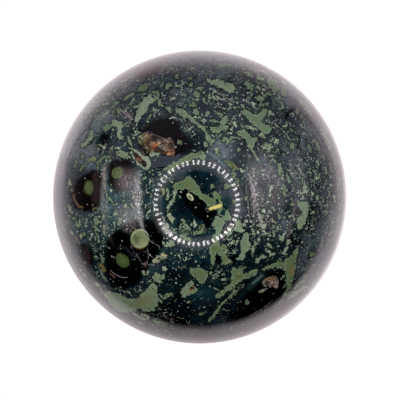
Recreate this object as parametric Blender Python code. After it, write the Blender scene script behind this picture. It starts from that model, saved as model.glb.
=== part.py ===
"""Kambaba jasper sphere: one polished ball of dark green stone, turned from a single piece.

Metres, +Z up. The origin is the middle of the small flat that the ball rests on. The ball's open
vugs lie round its top, where +X is right and +Y is away from a person who looks down on it.
"""

from math import asin, cos, pi, radians, sin, sqrt

import bmesh
import bpy
from mathutils import Quaternion, Vector

SPHERE_DIAMETER = 0.060
REST_FLAT_DIAMETER = 0.008

# Facets of the turned ball.
SEGMENTS = 84
RINGS = 42

# Stone colour, as linear RGB.
STONE_COLOUR = (0.030, 0.055, 0.050, 1.0)
STONE_ROUGHNESS = 0.12

# Open vugs and slits in the polish: place seen from above, size on the surface, depth, and the
# turn of the long side from +X.
PITS = {
    "vug_left_lobe": dict(x=-0.0089, y=0.0101, length=0.0056, width=0.0037, depth=0.0008, turn=-12),
    "vug_right_lobe": dict(x=-0.0063, y=0.0092, length=0.0043, width=0.0034, depth=0.0006, turn=-10),
    "round_hole": dict(x=-0.0103, y=0.0083, length=0.0017, width=0.0016, depth=0.0013, turn=0),
    "slit": dict(x=-0.0107, y=0.0072, length=0.0052, width=0.0009, depth=0.0005, turn=-45),
    "lower_vug": dict(x=0.0133, y=-0.0161, length=0.0034, width=0.0019, depth=0.0005, turn=20),
}
PIT_SUBDIVISIONS = 3

RADIUS = SPHERE_DIAMETER / 2
FLAT_RADIUS = REST_FLAT_DIAMETER / 2
CENTRE_HEIGHT = sqrt(RADIUS**2 - FLAT_RADIUS**2)
UP = Vector((0, 0, 1))


def clear_scene():
    for thing in list(bpy.data.objects):
        bpy.data.objects.remove(thing)


def stone_material():
    material = bpy.data.materials.new("polished_jasper")
    material.use_nodes = True
    shader = material.node_tree.nodes["Principled BSDF"]
    shader.inputs["Base Color"].default_value = STONE_COLOUR
    shader.inputs["Roughness"].default_value = STONE_ROUGHNESS
    shader.inputs["Metallic"].default_value = 0.0
    return material


def arc_profile(flat_angle):
    """Points of the half outline, from the flat's edge to just under the top."""
    step = flat_angle / RINGS
    angles = [flat_angle - ring * step for ring in range(RINGS)]
    return [(RADIUS * sin(angle), CENTRE_HEIGHT + RADIUS * cos(angle)) for angle in angles]


def turned_ball():
    """The half outline spun about the upright axis, closed by the flat below and a point on top."""
    flat_angle = pi - asin(FLAT_RADIUS / RADIUS)
    mesh = bmesh.new()
    rings = []
    for radius, height in arc_profile(flat_angle):
        turns = [2 * pi * segment / SEGMENTS for segment in range(SEGMENTS)]
        rings.append([mesh.verts.new((radius * cos(t), radius * sin(t), height)) for t in turns])
    top = mesh.verts.new((0, 0, CENTRE_HEIGHT + RADIUS))
    mesh.faces.new(list(reversed(rings[0])))
    for lower, upper in zip(rings, rings[1:]):
        for i in range(SEGMENTS):
            j = (i + 1) % SEGMENTS
            mesh.faces.new((lower[i], lower[j], upper[j], upper[i]))
    for i in range(SEGMENTS):
        mesh.faces.new((rings[-1][i], rings[-1][(i + 1) % SEGMENTS], top))
    data = bpy.data.meshes.new("jasper_sphere")
    mesh.to_mesh(data)
    mesh.free()
    ball = bpy.data.objects.new("jasper_sphere", data)
    bpy.context.collection.objects.link(ball)
    return ball


def pit_cutter(name, x, y, length, width, depth, turn):
    """An ellipsoid centred on the ball's surface, its short axis along the surface normal."""
    outward = Vector((x, y, sqrt(RADIUS**2 - x**2 - y**2))).normalized()
    mesh = bmesh.new()
    bmesh.ops.create_icosphere(mesh, subdivisions=PIT_SUBDIVISIONS, radius=1.0)
    bmesh.ops.scale(mesh, vec=(length / 2, width / 2, depth), verts=mesh.verts)
    data = bpy.data.meshes.new(name)
    mesh.to_mesh(data)
    mesh.free()
    cutter = bpy.data.objects.new(name, data)
    cutter.rotation_mode = "QUATERNION"
    cutter.rotation_quaternion = UP.rotation_difference(outward) @ Quaternion(UP, radians(turn))
    cutter.location = outward * RADIUS + UP * CENTRE_HEIGHT
    cutter.hide_render = True
    cutter.display_type = "WIRE"
    bpy.context.collection.objects.link(cutter)
    return cutter


def cut_pit(ball, cutter):
    cut = ball.modifiers.new(cutter.name, "BOOLEAN")
    cut.operation = "DIFFERENCE"
    cut.solver = "EXACT"
    cut.object = cutter


def main():
    clear_scene()
    ball = turned_ball()
    ball.data.materials.append(stone_material())
    ball.data.shade_smooth()
    ball.data.set_sharp_from_angle(angle=radians(30))
    for name, pit in PITS.items():
        cut_pit(ball, pit_cutter(name, **pit))


main()
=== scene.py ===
"""Kambaba jasper sphere as it looks: the polished ball, its markings, and the light around it.

The stone is one piece. Its fine surface is a rounded cube whose points carry soft measures of each
marking, such as how deep a point lies inside a green patch, and the stone's material turns those
measures into crisp, grainy colour. The markings that the picture shows are outlined in picture
points, from the picture's top left corner, and laid on the ball along the camera's own rays.
"""

import bpy
import numpy as np
from mathutils import Matrix, Vector, noise


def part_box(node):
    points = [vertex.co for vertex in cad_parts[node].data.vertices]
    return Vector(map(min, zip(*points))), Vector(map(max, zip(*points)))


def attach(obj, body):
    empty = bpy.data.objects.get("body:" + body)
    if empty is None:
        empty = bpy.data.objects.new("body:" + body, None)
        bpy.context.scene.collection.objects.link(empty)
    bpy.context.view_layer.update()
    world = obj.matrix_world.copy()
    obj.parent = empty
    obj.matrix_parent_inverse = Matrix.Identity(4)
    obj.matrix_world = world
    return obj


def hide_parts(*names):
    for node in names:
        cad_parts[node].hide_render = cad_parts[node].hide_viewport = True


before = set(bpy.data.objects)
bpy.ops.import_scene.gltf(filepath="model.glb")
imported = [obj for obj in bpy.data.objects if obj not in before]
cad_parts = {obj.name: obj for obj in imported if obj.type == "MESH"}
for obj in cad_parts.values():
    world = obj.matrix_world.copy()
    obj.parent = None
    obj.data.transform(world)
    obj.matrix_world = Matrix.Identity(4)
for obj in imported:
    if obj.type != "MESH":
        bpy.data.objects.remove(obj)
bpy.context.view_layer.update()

# The ball, read from the frame.
NODE = "jasper_sphere"
ball_low, ball_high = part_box(NODE)
RADIUS = (ball_high[0] - ball_low[0]) / 2
CENTRE = Vector((0.0, 0.0, ball_high[2] - RADIUS))

# The ball starts as a cube, whose edges are cut into 8 pieces and each of those into 16. Its squares
# are crowded towards the top, which the picture shows; a crowding of 1 would leave them even.
FACE_CUTS = (7, 15)
CROWDING = 0.6

# The camera looks straight down. Picture sizes are in points of the 400 point square picture.
PICTURE = 400
BALL_PLACE = (199.7, 196.9)
BALL_RADIUS_POINTS = 146.8
CAMERA_DISTANCE = 0.25
SENSOR = 36.0
NEAREST_SEEN = 0.01

SINE = RADIUS / CAMERA_DISTANCE
POINTS_PER_TANGENT = BALL_RADIUS_POINTS * (1 - SINE**2) ** 0.5 / SINE
CAMERA = Vector(
    (
        (PICTURE / 2 - BALL_PLACE[0]) * CAMERA_DISTANCE / POINTS_PER_TANGENT,
        (BALL_PLACE[1] - PICTURE / 2) * CAMERA_DISTANCE / POINTS_PER_TANGENT,
        CENTRE.z + CAMERA_DISTANCE,
    )
)

# Paint tones of the green marks, along one scale from dark moss to cream.
DEEP, OLIVE, MOSS, JADE, SAGE, LICHEN, PALE, CREAM = 0.0, 0.15, 0.3, 0.42, 0.54, 0.66, 0.8, 1.0

# How far a mark is eaten by dark grains: whole, worn or broken.
WHOLE, WORN, BROKEN = 0.0, 0.5, 1.0


def rgb(*values):
    """A display colour, 0 to 255, as the linear colour that a shader takes, by the usual curve."""
    shares = [value / 255 for value in values]
    return tuple(s / 12.92 if s <= 0.04045 else ((s + 0.055) / 1.055) ** 2.4 for s in shares) + (1.0,)


# How calm a sparkling paint is. At 1 a vug paint has few painted glints and black gaps of painted shade, and
# at less it has more.
SPARKLING_CALM = 0.84


def sparkling(*values):
    """A vug paint that is broken up by many painted glints and black gaps of painted shade."""
    return rgb(*values)[:3] + (SPARKLING_CALM,)


# Paints of the fine marks.
INK = rgb(1, 2, 3)
WINE = rgb(18, 10, 13)
UMBER = rgb(52, 26, 18)
BROWN = rgb(96, 66, 44)
RUST = rgb(176, 84, 40)
AMBER = rgb(214, 140, 70)
TAN = rgb(158, 130, 100)
BONE = rgb(176, 170, 156)
FROST = rgb(214, 214, 214)
PINK_WHITE = rgb(214, 198, 202)
SLATE = rgb(58, 66, 78)
ASH = rgb(122, 118, 110)
STRAW_GREEN = rgb(172, 176, 128)

# Green patches: tone, wear and outlines, in picture points.
PATCHES = {
    "long_band": (SAGE, WHOLE, [(174, 108), (178, 108), (182, 109), (185, 111), (188, 114), (192, 117),
        (195, 120), (200, 124.5), (203, 129), (199, 127), (193, 123), (188, 119), (183, 117), (180, 115),
        (176, 112)]),
    "band_tail": (SAGE, WORN, [(202, 126), (205, 128), (208, 132), (210, 136), (211, 140), (215, 140),
        (213, 143), (211, 147), (208, 141), (205, 135), (202, 129)]),
    "pale_net": (PALE, WORN, [(151, 93), (152, 97), (156, 100), (153, 103), (149, 105), (148, 109),
        (144, 113), (141, 117), (139, 122), (135, 122), (135, 117), (137, 111), (140, 107), (142, 101),
        (146, 97)]),
    "upper_left_chips": (SAGE, WORN, [(153, 92), (158, 90), (160, 96), (158, 99), (155, 97)], [(133, 107),
        (135, 105), (139, 106), (138, 108), (134, 109)], [(187, 79), (188, 77), (191, 76), (194, 76.5),
        (194, 78.5), (190, 79)], [(219, 64), (224, 63.5), (232, 64), (232, 66.5), (224, 67), (219, 66)],
        [(227, 76), (229, 74.5), (231, 76), (230, 77.5)], [(197, 88), (199, 86.5), (203, 87.5), (201, 89.5),
        (198, 89.5)]),
    "upper_drops": (SAGE, WHOLE, [(166, 84), (168, 83), (172, 83.5), (172, 86), (169, 88), (167, 89.5),
        (166, 88)], [(167, 95), (168.5, 94.3), (169.5, 96), (168, 97.2)], [(159, 100), (160, 100), (161, 103),
        (164, 105), (163, 107), (160, 106.5), (158, 105)], [(166, 108), (168, 107), (171, 108), (172, 110),
        (170, 113), (167, 112)], [(189, 83), (192, 83), (192, 86), (189, 86)]),
    "moss_blobs": (MOSS, WHOLE, [(175, 76), (177, 74), (179, 75), (181, 77), (178, 78), (176, 79)],
        [(139, 88), (141, 86), (144, 84), (147, 84), (148, 87), (146, 90), (141, 91), (138, 92)], [(223, 188),
        (224, 184), (227, 183.5), (229, 187), (227, 189.5), (223, 189.5)]),
    "top_blobs": (SAGE, WHOLE, [(193, 94), (195, 91), (198, 92), (200, 94), (198, 97), (194, 96)],
        [(193, 110), (196, 108), (198, 110), (199, 114), (196, 115), (194, 113)], [(202, 99), (206, 97),
        (205, 100), (206, 102.5), (204, 102), (203, 100)], [(205, 115), (206, 111), (208, 110.5), (210, 114),
        (208, 116), (206, 116)], [(232, 107.5), (235, 106.5), (237, 107.5), (234, 108.5)]),
    "dim_dots": (MOSS, WORN, [(190, 105), (193, 103), (196, 106), (193, 108)], [(231, 174), (233, 171),
        (236, 174), (236, 178), (233, 178)], [(210.5, 184), (213, 184.5), (214.5, 187.5), (212, 189),
        (211, 187)], [(218.4, 207), (222.5, 207), (222.4, 210), (220.8, 213), (218.8, 215), (217.3, 214.2),
        (218, 210)]),
    "top_patch": (PALE, WHOLE, [(206, 77), (208, 79), (211, 80), (217, 80), (223, 80.5), (225, 83), (229, 82),
        (233, 85), (236, 88), (233, 92), (229, 92.5), (225, 90), (220, 88), (216, 86), (211, 84.5),
        (207, 81)]),
    "middle_chips": (SAGE, WORN, [(213, 111), (215, 110), (217, 112), (220, 112), (222, 114.5), (219, 117),
        (217, 116), (215, 114)], [(221, 121), (223, 118), (226, 116), (228, 119), (230, 119.5), (227, 123),
        (222, 124)], [(210, 120), (215, 119), (217, 122), (212, 123)]),
    "pale_chips": (PALE, WORN, [(241, 105), (243, 104), (244, 107), (242, 108)], [(295, 109), (298, 108),
        (299, 111), (297, 113)], [(300, 115), (302, 114.5), (303, 118), (301, 118.5)], [(316, 144),
        (319, 144), (320, 148), (318, 151), (316, 149)]),
    "top_right": (SAGE, WORN, [(243, 83), (246, 82), (249, 82.5), (252, 84), (255, 85), (254, 89), (253, 91),
        (250, 88), (248, 89.5), (246, 88), (249, 86), (244, 85)]),
    "top_right_chips": (SAGE, WORN, [(256, 81), (259, 82), (261, 84), (259, 85), (257, 83)], [(254, 98),
        (257, 95), (259, 95), (262, 98), (265, 99), (263, 101), (258, 101), (255, 99)], [(258, 105),
        (261, 103), (264, 105), (266, 108), (262, 107)]),
    "crumbled_chips": (SAGE, BROKEN, [(244, 73), (248, 72), (252, 74), (255, 78), (251, 78), (247, 76)],
        [(163, 168), (167, 167), (167, 171), (163, 171)], [(280, 187), (285, 185), (288, 191), (285, 197),
        (281, 194)], [(303, 274), (307, 274), (306, 278), (303, 277)], [(153, 320), (158, 319), (167, 323),
        (166, 326), (157, 324)]),
    "forked_patch": (SAGE, WHOLE, [(241, 112), (244, 110), (248, 111), (253, 114), (257, 115), (260, 112),
        (264, 109), (268, 108), (268, 113), (264, 116), (262, 120), (265, 125), (272, 127), (271, 131),
        (267, 135), (263, 133), (258, 128), (252, 123), (246, 117)]),
    "rim_drops": (SAGE, WHOLE, [(266, 103), (268, 101), (269, 104), (268, 107)], [(281, 88), (284, 87),
        (286, 91), (286, 95), (283, 96), (281, 92)], [(266, 93.5), (268, 92), (271, 94.5), (268, 96)],
        [(281, 102), (284, 105), (284, 109), (280, 110), (277, 108), (281, 107)]),
    "rim_green": (SAGE, WORN, [(266, 80), (271, 78), (276, 80), (279, 85), (280, 89), (277, 92), (272, 91),
        (269, 87), (267, 83)]),
    "brow_streak": (PALE, WORN, [(298, 98), (302, 101), (306.4, 104.8), (310.6, 110), (314, 116),
        (311.6, 116.4), (307, 111), (303, 106.6), (299, 101.6)]),
    "left_chips": (SAGE, WORN, [(94, 109), (97, 109), (99, 112), (96, 113)], [(109, 147), (112, 147),
        (112, 149), (109, 149)], [(94, 220), (95, 217), (97, 215.5), (98, 219), (99, 221), (102, 222),
        (98, 224), (95, 224)], [(118, 218), (122, 219), (122, 225), (118, 225)], [(72, 217), (76, 217),
        (76, 220), (72, 220)], [(83, 232), (85, 232), (85.5, 236), (83, 236)]),
    "dim_left": (MOSS, BROKEN, [(90.5, 114), (93, 114), (93, 118), (91, 118)], [(84.5, 115), (87, 115),
        (87, 119), (85, 119)]),
    "left_streak": (PALE, WHOLE, [(89.8, 129.4), (93.4, 129.8), (93.6, 134), (92.6, 138.4), (90.2, 142),
        (86.8, 145.2), (83.2, 147.4), (80.8, 145.6), (83.6, 142), (86.4, 139), (88.8, 136), (89.4, 132.4)]),
    "left_yellow": (LICHEN, WHOLE, [(88, 161), (89, 159), (92, 157.5), (95, 156), (96, 158), (94, 160.5),
        (90, 160.5)]),
    "hook": (PALE, WHOLE, [(112.2, 121.2), (115.3, 119.9), (118.4, 121), (121.8, 121.4), (121.6, 125.8),
        (121.2, 130), (121.6, 132.8), (122.4, 135.8), (121.4, 138.8), (118.8, 139), (117.4, 136.8),
        (117.2, 133.6), (117.8, 131), (117.4, 128.4), (115.6, 126.4), (113.4, 126), (111.6, 124)]),
    "hook_limb": (SAGE, WORN, [(101.6, 130), (103.6, 126.4), (107.2, 124.6), (110, 123.4), (112, 123.6),
        (111.4, 126.6), (109, 129.6), (105.6, 130.6)]),
    "above_second_eye": (LICHEN, WHOLE, [(116, 155), (118, 151.5), (122, 151), (127, 153), (130, 155),
        (127, 158), (122, 158), (119, 157)]),
    "left_rim_ovals": (PALE, WHOLE, [(68, 181), (69.5, 179.5), (71, 181), (72, 184), (70, 185), (68.5, 184)],
        [(65.5, 194), (67.5, 194), (67.5, 197), (65.5, 197)]),
    "mint_chips": (PALE, WORN, [(112, 215), (114, 212), (116, 211), (118, 215), (115, 216)], [(121, 200),
        (124, 200), (124, 203), (121, 203)], [(124, 203), (127, 204), (127, 208), (124, 208)], [(162, 268),
        (164, 266), (167, 269), (164, 271)]),
    "vug_rims": (PALE, WHOLE, [(129.5, 148), (132, 147.5), (136, 149.5), (140, 151), (143, 154), (147, 156.5),
        (149.5, 160), (150.5, 165), (149, 169), (145, 169.5), (141, 167), (137, 163), (133, 157.5),
        (130, 153)], [(149, 153), (153, 150.5), (155, 151), (158, 152), (163, 152.5), (158, 155),
        (151, 156)]),
    "by_vug_dots": (SAGE, WHOLE, [(138, 137), (142, 134), (145, 133), (144, 138), (143, 144), (140, 142)],
        [(142, 179), (144, 176.5), (147, 176), (146, 179.5), (143, 180)]),
    "olive_lumps": (OLIVE, WHOLE, [(177, 142), (179, 141), (182, 142.5), (181, 144), (178, 144)], [(221, 246),
        (224, 243.5), (226, 247), (225, 250), (222, 249)]),
    "below_vug_band": (MOSS, WHOLE, [(166, 167), (172, 164), (180, 159), (188, 155), (197, 152.5),
        (204, 151.5), (206, 154.5), (198, 158), (190, 160), (183, 163), (176, 167), (172, 171), (166, 170)]),
    "band_chips": (SAGE, WORN, [(203, 142), (207, 143), (207, 147), (203, 147)], [(195, 153), (201, 152),
        (205, 151), (205, 156), (205, 160), (201, 158), (197, 157)]),
    "round_green": (SAGE, WORN, [(211, 127), (215, 127), (219, 128), (222, 125), (226, 125), (228, 127),
        (226, 130), (222, 130), (219, 133), (214, 132), (211, 130)]),
    "oval_green": (SAGE, WHOLE, [(221, 139), (223, 137), (227, 136.5), (228.5, 138), (227, 141),
        (223, 141.5)]),
    "c_shape": (PALE, WORN, [(218, 146.5), (215.5, 149), (215, 152), (217, 155), (220, 156.5), (220, 154),
        (217.5, 152), (218.5, 148.5)]),
    "right_chips": (SAGE, WORN, [(237, 150.5), (238, 147.5), (240, 149), (242.5, 151), (239, 151.5)],
        [(240, 125), (243, 124), (244, 128), (241, 129)], [(289, 146), (292, 142), (296, 145), (293, 149)],
        [(278, 163), (281, 163), (282, 170), (280, 175), (278, 171)], [(291, 196), (293, 196), (293, 200),
        (291, 200)], [(289, 203), (293, 203), (293, 205.5), (289, 205.5)]),
    "olive_patches": (OLIVE, WORN, [(224, 160), (229, 161), (234, 163), (237, 166), (238, 169), (234, 169),
        (229, 166), (225, 163)], [(232, 199), (236, 200), (236, 204), (232, 203)], [(310, 251), (315, 252),
        (314, 256), (310, 256)]),
    "drop_tail": (MOSS, BROKEN, [(236, 177), (240, 178), (239, 184), (236, 183)]),
    "second_patch": (SAGE, WHOLE, [(236.5, 132), (240, 130), (245, 129.5), (247, 131), (250, 134.5),
        (251.5, 137.5), (257, 138.5), (256, 142), (254.5, 145.5), (251, 148.5), (248, 147.5), (246.5, 142),
        (245, 139), (241, 136.5)]),
    "pale_triangle": (PALE, WHOLE, [(260, 131.6), (261.8, 132.8), (265.6, 139), (263, 137.8),
        (259.8, 137.4)]),
    "mottled_right": (PALE, BROKEN, [(262, 145), (266, 143), (271, 144), (271, 151), (267, 153), (263, 149)],
        [(274, 149), (277, 148), (280, 152), (279, 155), (275, 153)]),
    "long_wedge": (SAGE, WHOLE, [(285, 171), (288, 175), (291.5, 182), (289, 183), (286, 177)]),
    "right_patch": (LICHEN, WHOLE, [(297, 200), (298.5, 200), (300, 202), (304, 203), (306, 201.5),
        (309, 202), (309, 206), (308, 212), (307, 217), (305, 223), (302, 227), (300, 229), (298, 227),
        (297, 222), (297, 217), (300, 216), (302.5, 214), (303, 211.5), (300, 209), (298, 206)]),
    "pale_end": (PALE, BROKEN, [(258, 214), (263, 215), (263, 222), (259, 221)]),
    "cream_fleck": (CREAM, BROKEN, [(270, 219), (273, 219), (276, 223), (272, 223)]),
    "loop_top": (MOSS, WORN, [(173.1, 186.2), (176.5, 182.7), (182.7, 180.4), (187.3, 175.8), (191.9, 177.7),
        (193.5, 180.4), (196.5, 183), (199.6, 188), (201.9, 191.9), (205, 194.2), (208, 193.8), (210, 196.2),
        (209.4, 198), (212.7, 198), (215.4, 199.6), (216.5, 202.7), (215, 205), (211.2, 206.2),
        (207.7, 206.8), (206.5, 203.5), (204.6, 200), (201.2, 198), (198, 196), (195.4, 194.6),
        (193.3, 193.8), (190, 192.4), (188.8, 189.6), (185.8, 188.8), (179.6, 189.2), (176.5, 190),
        (174.6, 191)]),
    "loop_right": (MOSS, WHOLE, [(211.2, 193.8), (215, 191.9), (218.8, 193.5), (221.2, 196.5), (222.3, 200.4),
        (222, 203.8), (218, 204.4), (218, 200.4), (216.2, 197.3), (213.5, 195.4)]),
    "ring_crumbles": (SAGE, BROKEN, [(182, 218.5), (184, 220.5), (185.6, 223), (188.4, 226), (190.4, 229),
        (188, 231.5), (182, 232.7), (178.5, 229), (180.4, 225.8)], [(180, 234), (186, 232.6), (189, 233.4),
        (188, 236), (181, 236.4)]),
    "low_chips": (SAGE, WORN, [(180, 235), (184, 236), (190, 237), (191, 240), (187, 242), (184, 240)],
        [(255, 241.6), (256.8, 242.6), (256, 245.4), (254.6, 244.8)], [(254.2, 258.6), (260, 258.6),
        (258.8, 262), (257.3, 263.5), (255, 261)], [(153, 276), (156, 273), (160, 275), (164, 274),
        (165, 277), (162, 280), (162, 283), (158, 283), (155, 280)]),
    "curl_with_pit": (MOSS, WORN, [(202, 223.8), (204.6, 224.6), (205.2, 227), (203.5, 230), (202, 232.6),
        (198.8, 234), (194, 235), (192.4, 232.6), (197, 231), (199, 227.6)]),
    "bank_chips": (PALE, WORN, [(165, 223), (168, 222), (169, 226), (167, 228)], [(252, 245.8),
        (254.2, 245.8), (255.8, 249.6), (253.5, 251.2), (252, 254.2), (250.8, 253.5), (252, 250.4)],
        [(260.2, 256.6), (262.7, 254.6), (265.8, 257.3), (263.5, 258.8)]),
    "below_beads": (PALE, WHOLE, [(165, 246), (166, 243), (168, 241), (172, 240), (175, 242), (175, 246),
        (172, 247), (167, 247)]),
    "river": (SAGE, WHOLE, [(227.7, 210.4), (229.6, 213.5), (231.4, 216), (231.9, 218.8), (229.6, 220.4),
        (226.5, 220.4), (224.2, 223.5), (222, 226.5), (221.4, 232), (219, 236), (218.4, 241), (212.8, 241),
        (213.4, 236), (215.8, 230.4), (214.2, 228), (212, 225.8), (212.7, 222), (215, 218.8), (216.5, 216.5),
        (218.8, 217.3), (222, 218), (224.2, 215), (225.6, 212)]),
    "river_legs": (MOSS, WHOLE, [(218.4, 240), (219.8, 246), (221.6, 250.2), (225, 252.7), (228, 258),
        (231.9, 262.3), (227.7, 263.4), (223.8, 265.4), (220.6, 265.8), (222.4, 262.6), (223, 259.6),
        (221.5, 257.3), (219.2, 254.6), (217.3, 253), (215.4, 255.8), (214.8, 259.6), (213.8, 264.4),
        (212.6, 264.6), (211.5, 260.4), (210.8, 255.8), (209.4, 251.2), (210, 247.3), (212.6, 243),
        (212.8, 240)]),
    "river_island": (PALE, WORN, [(236, 221), (240, 222), (242, 225), (244, 229), (246, 231), (240, 233),
        (236, 231), (234, 229), (235, 226)]),
    "right_bank": (SAGE, WHOLE, [(243.2, 234), (245.6, 232), (248.6, 232), (248.8, 240), (250.8, 245),
        (248, 250.4), (245.8, 252.7), (245, 257.3), (242.7, 260.4), (238, 259.6), (237.3, 258),
        (239.6, 256.5), (241, 252.7), (241.5, 248.8), (240, 243.5), (241.5, 239.6)]),
    "fork_body": (MOSS, WHOLE, [(231.3, 267), (235.2, 267.6), (236.8, 270), (239, 267.3), (242, 265.6),
        (247.2, 266.2), (245.8, 268), (243.3, 269), (241.9, 271.2), (243.7, 272.9), (248, 272.7),
        (252.7, 270.6), (256, 269), (259.6, 270.6), (255.8, 274), (251.2, 276.8), (246.5, 278),
        (242.7, 279.4), (238.6, 282.2), (235, 284.9), (231.4, 288), (227.6, 291), (223, 294.6),
        (219.4, 298.4), (215.4, 296.8), (217.6, 293.6), (221.6, 290.2), (225.2, 287.4), (228.8, 285),
        (230.2, 282), (231.8, 278.8), (232.5, 273.5)]),
    "fork_arm": (MOSS, WHOLE, [(261.8, 269.4), (266, 266.6), (270.4, 264.6), (274, 263.6), (276.8, 262.3),
        (277.7, 259.5), (279.5, 258.2), (282.3, 259.5), (282.6, 263.2), (286, 265), (287, 267.6),
        (285.9, 268.8), (281.4, 268.6), (275.9, 267.6), (270.5, 268.4), (266.8, 269.5), (263.2, 270.8)]),
    "fan_and_stem": (MOSS, WHOLE, [(299, 245), (298, 250), (296.5, 255), (296, 262), (295, 270), (293.5, 277),
        (291, 284), (290, 287), (287, 286), (287, 280), (286, 272), (286, 266), (284, 262), (286, 258),
        (291, 255), (295, 250)], [(288, 286), (290, 287), (286, 295), (281, 302), (276, 306), (274, 306),
        (280, 301), (284, 294)]),
    "heart": (MOSS, WHOLE, [(190.8, 267), (193, 268.3), (196.9, 268), (203, 268.8), (206.9, 270.8),
        (208.8, 274.2), (206.4, 278), (204.6, 281.9), (201.5, 283.5), (198.5, 281.9), (195.4, 278),
        (193.3, 275.2), (190.4, 273), (190, 270)]),
    "pit_patch": (SAGE, WORN, [(181, 291), (184, 287), (187, 284), (190, 280.5), (192, 282), (193, 285),
        (197, 288), (196, 292), (192, 294), (188, 296), (182, 297), (184, 294)]),
    "low_arm": (MOSS, WORN, [(164, 297), (165, 293), (168, 294), (171, 293), (173, 294), (170, 297),
        (167, 299)]),
    "great_low_patch": (SAGE, WORN, [(104, 293), (110, 291.5), (115, 292), (118, 294), (122, 295), (126, 297),
        (129, 299), (136, 299), (140, 297), (143, 293), (147, 288), (151, 284), (154, 281), (157, 287),
        (158, 296), (158, 303), (156, 308), (154, 311), (151, 309), (148, 305), (149, 311), (145, 311),
        (139, 309), (136, 310), (130, 313), (120, 312), (112, 307)]),
    "cream_seed": (CREAM, WHOLE, [(154, 263), (154, 260), (157, 257), (161, 255), (162, 253.5), (164, 253),
        (166, 255), (165, 258), (161, 260), (158, 262)]),
}

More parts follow.
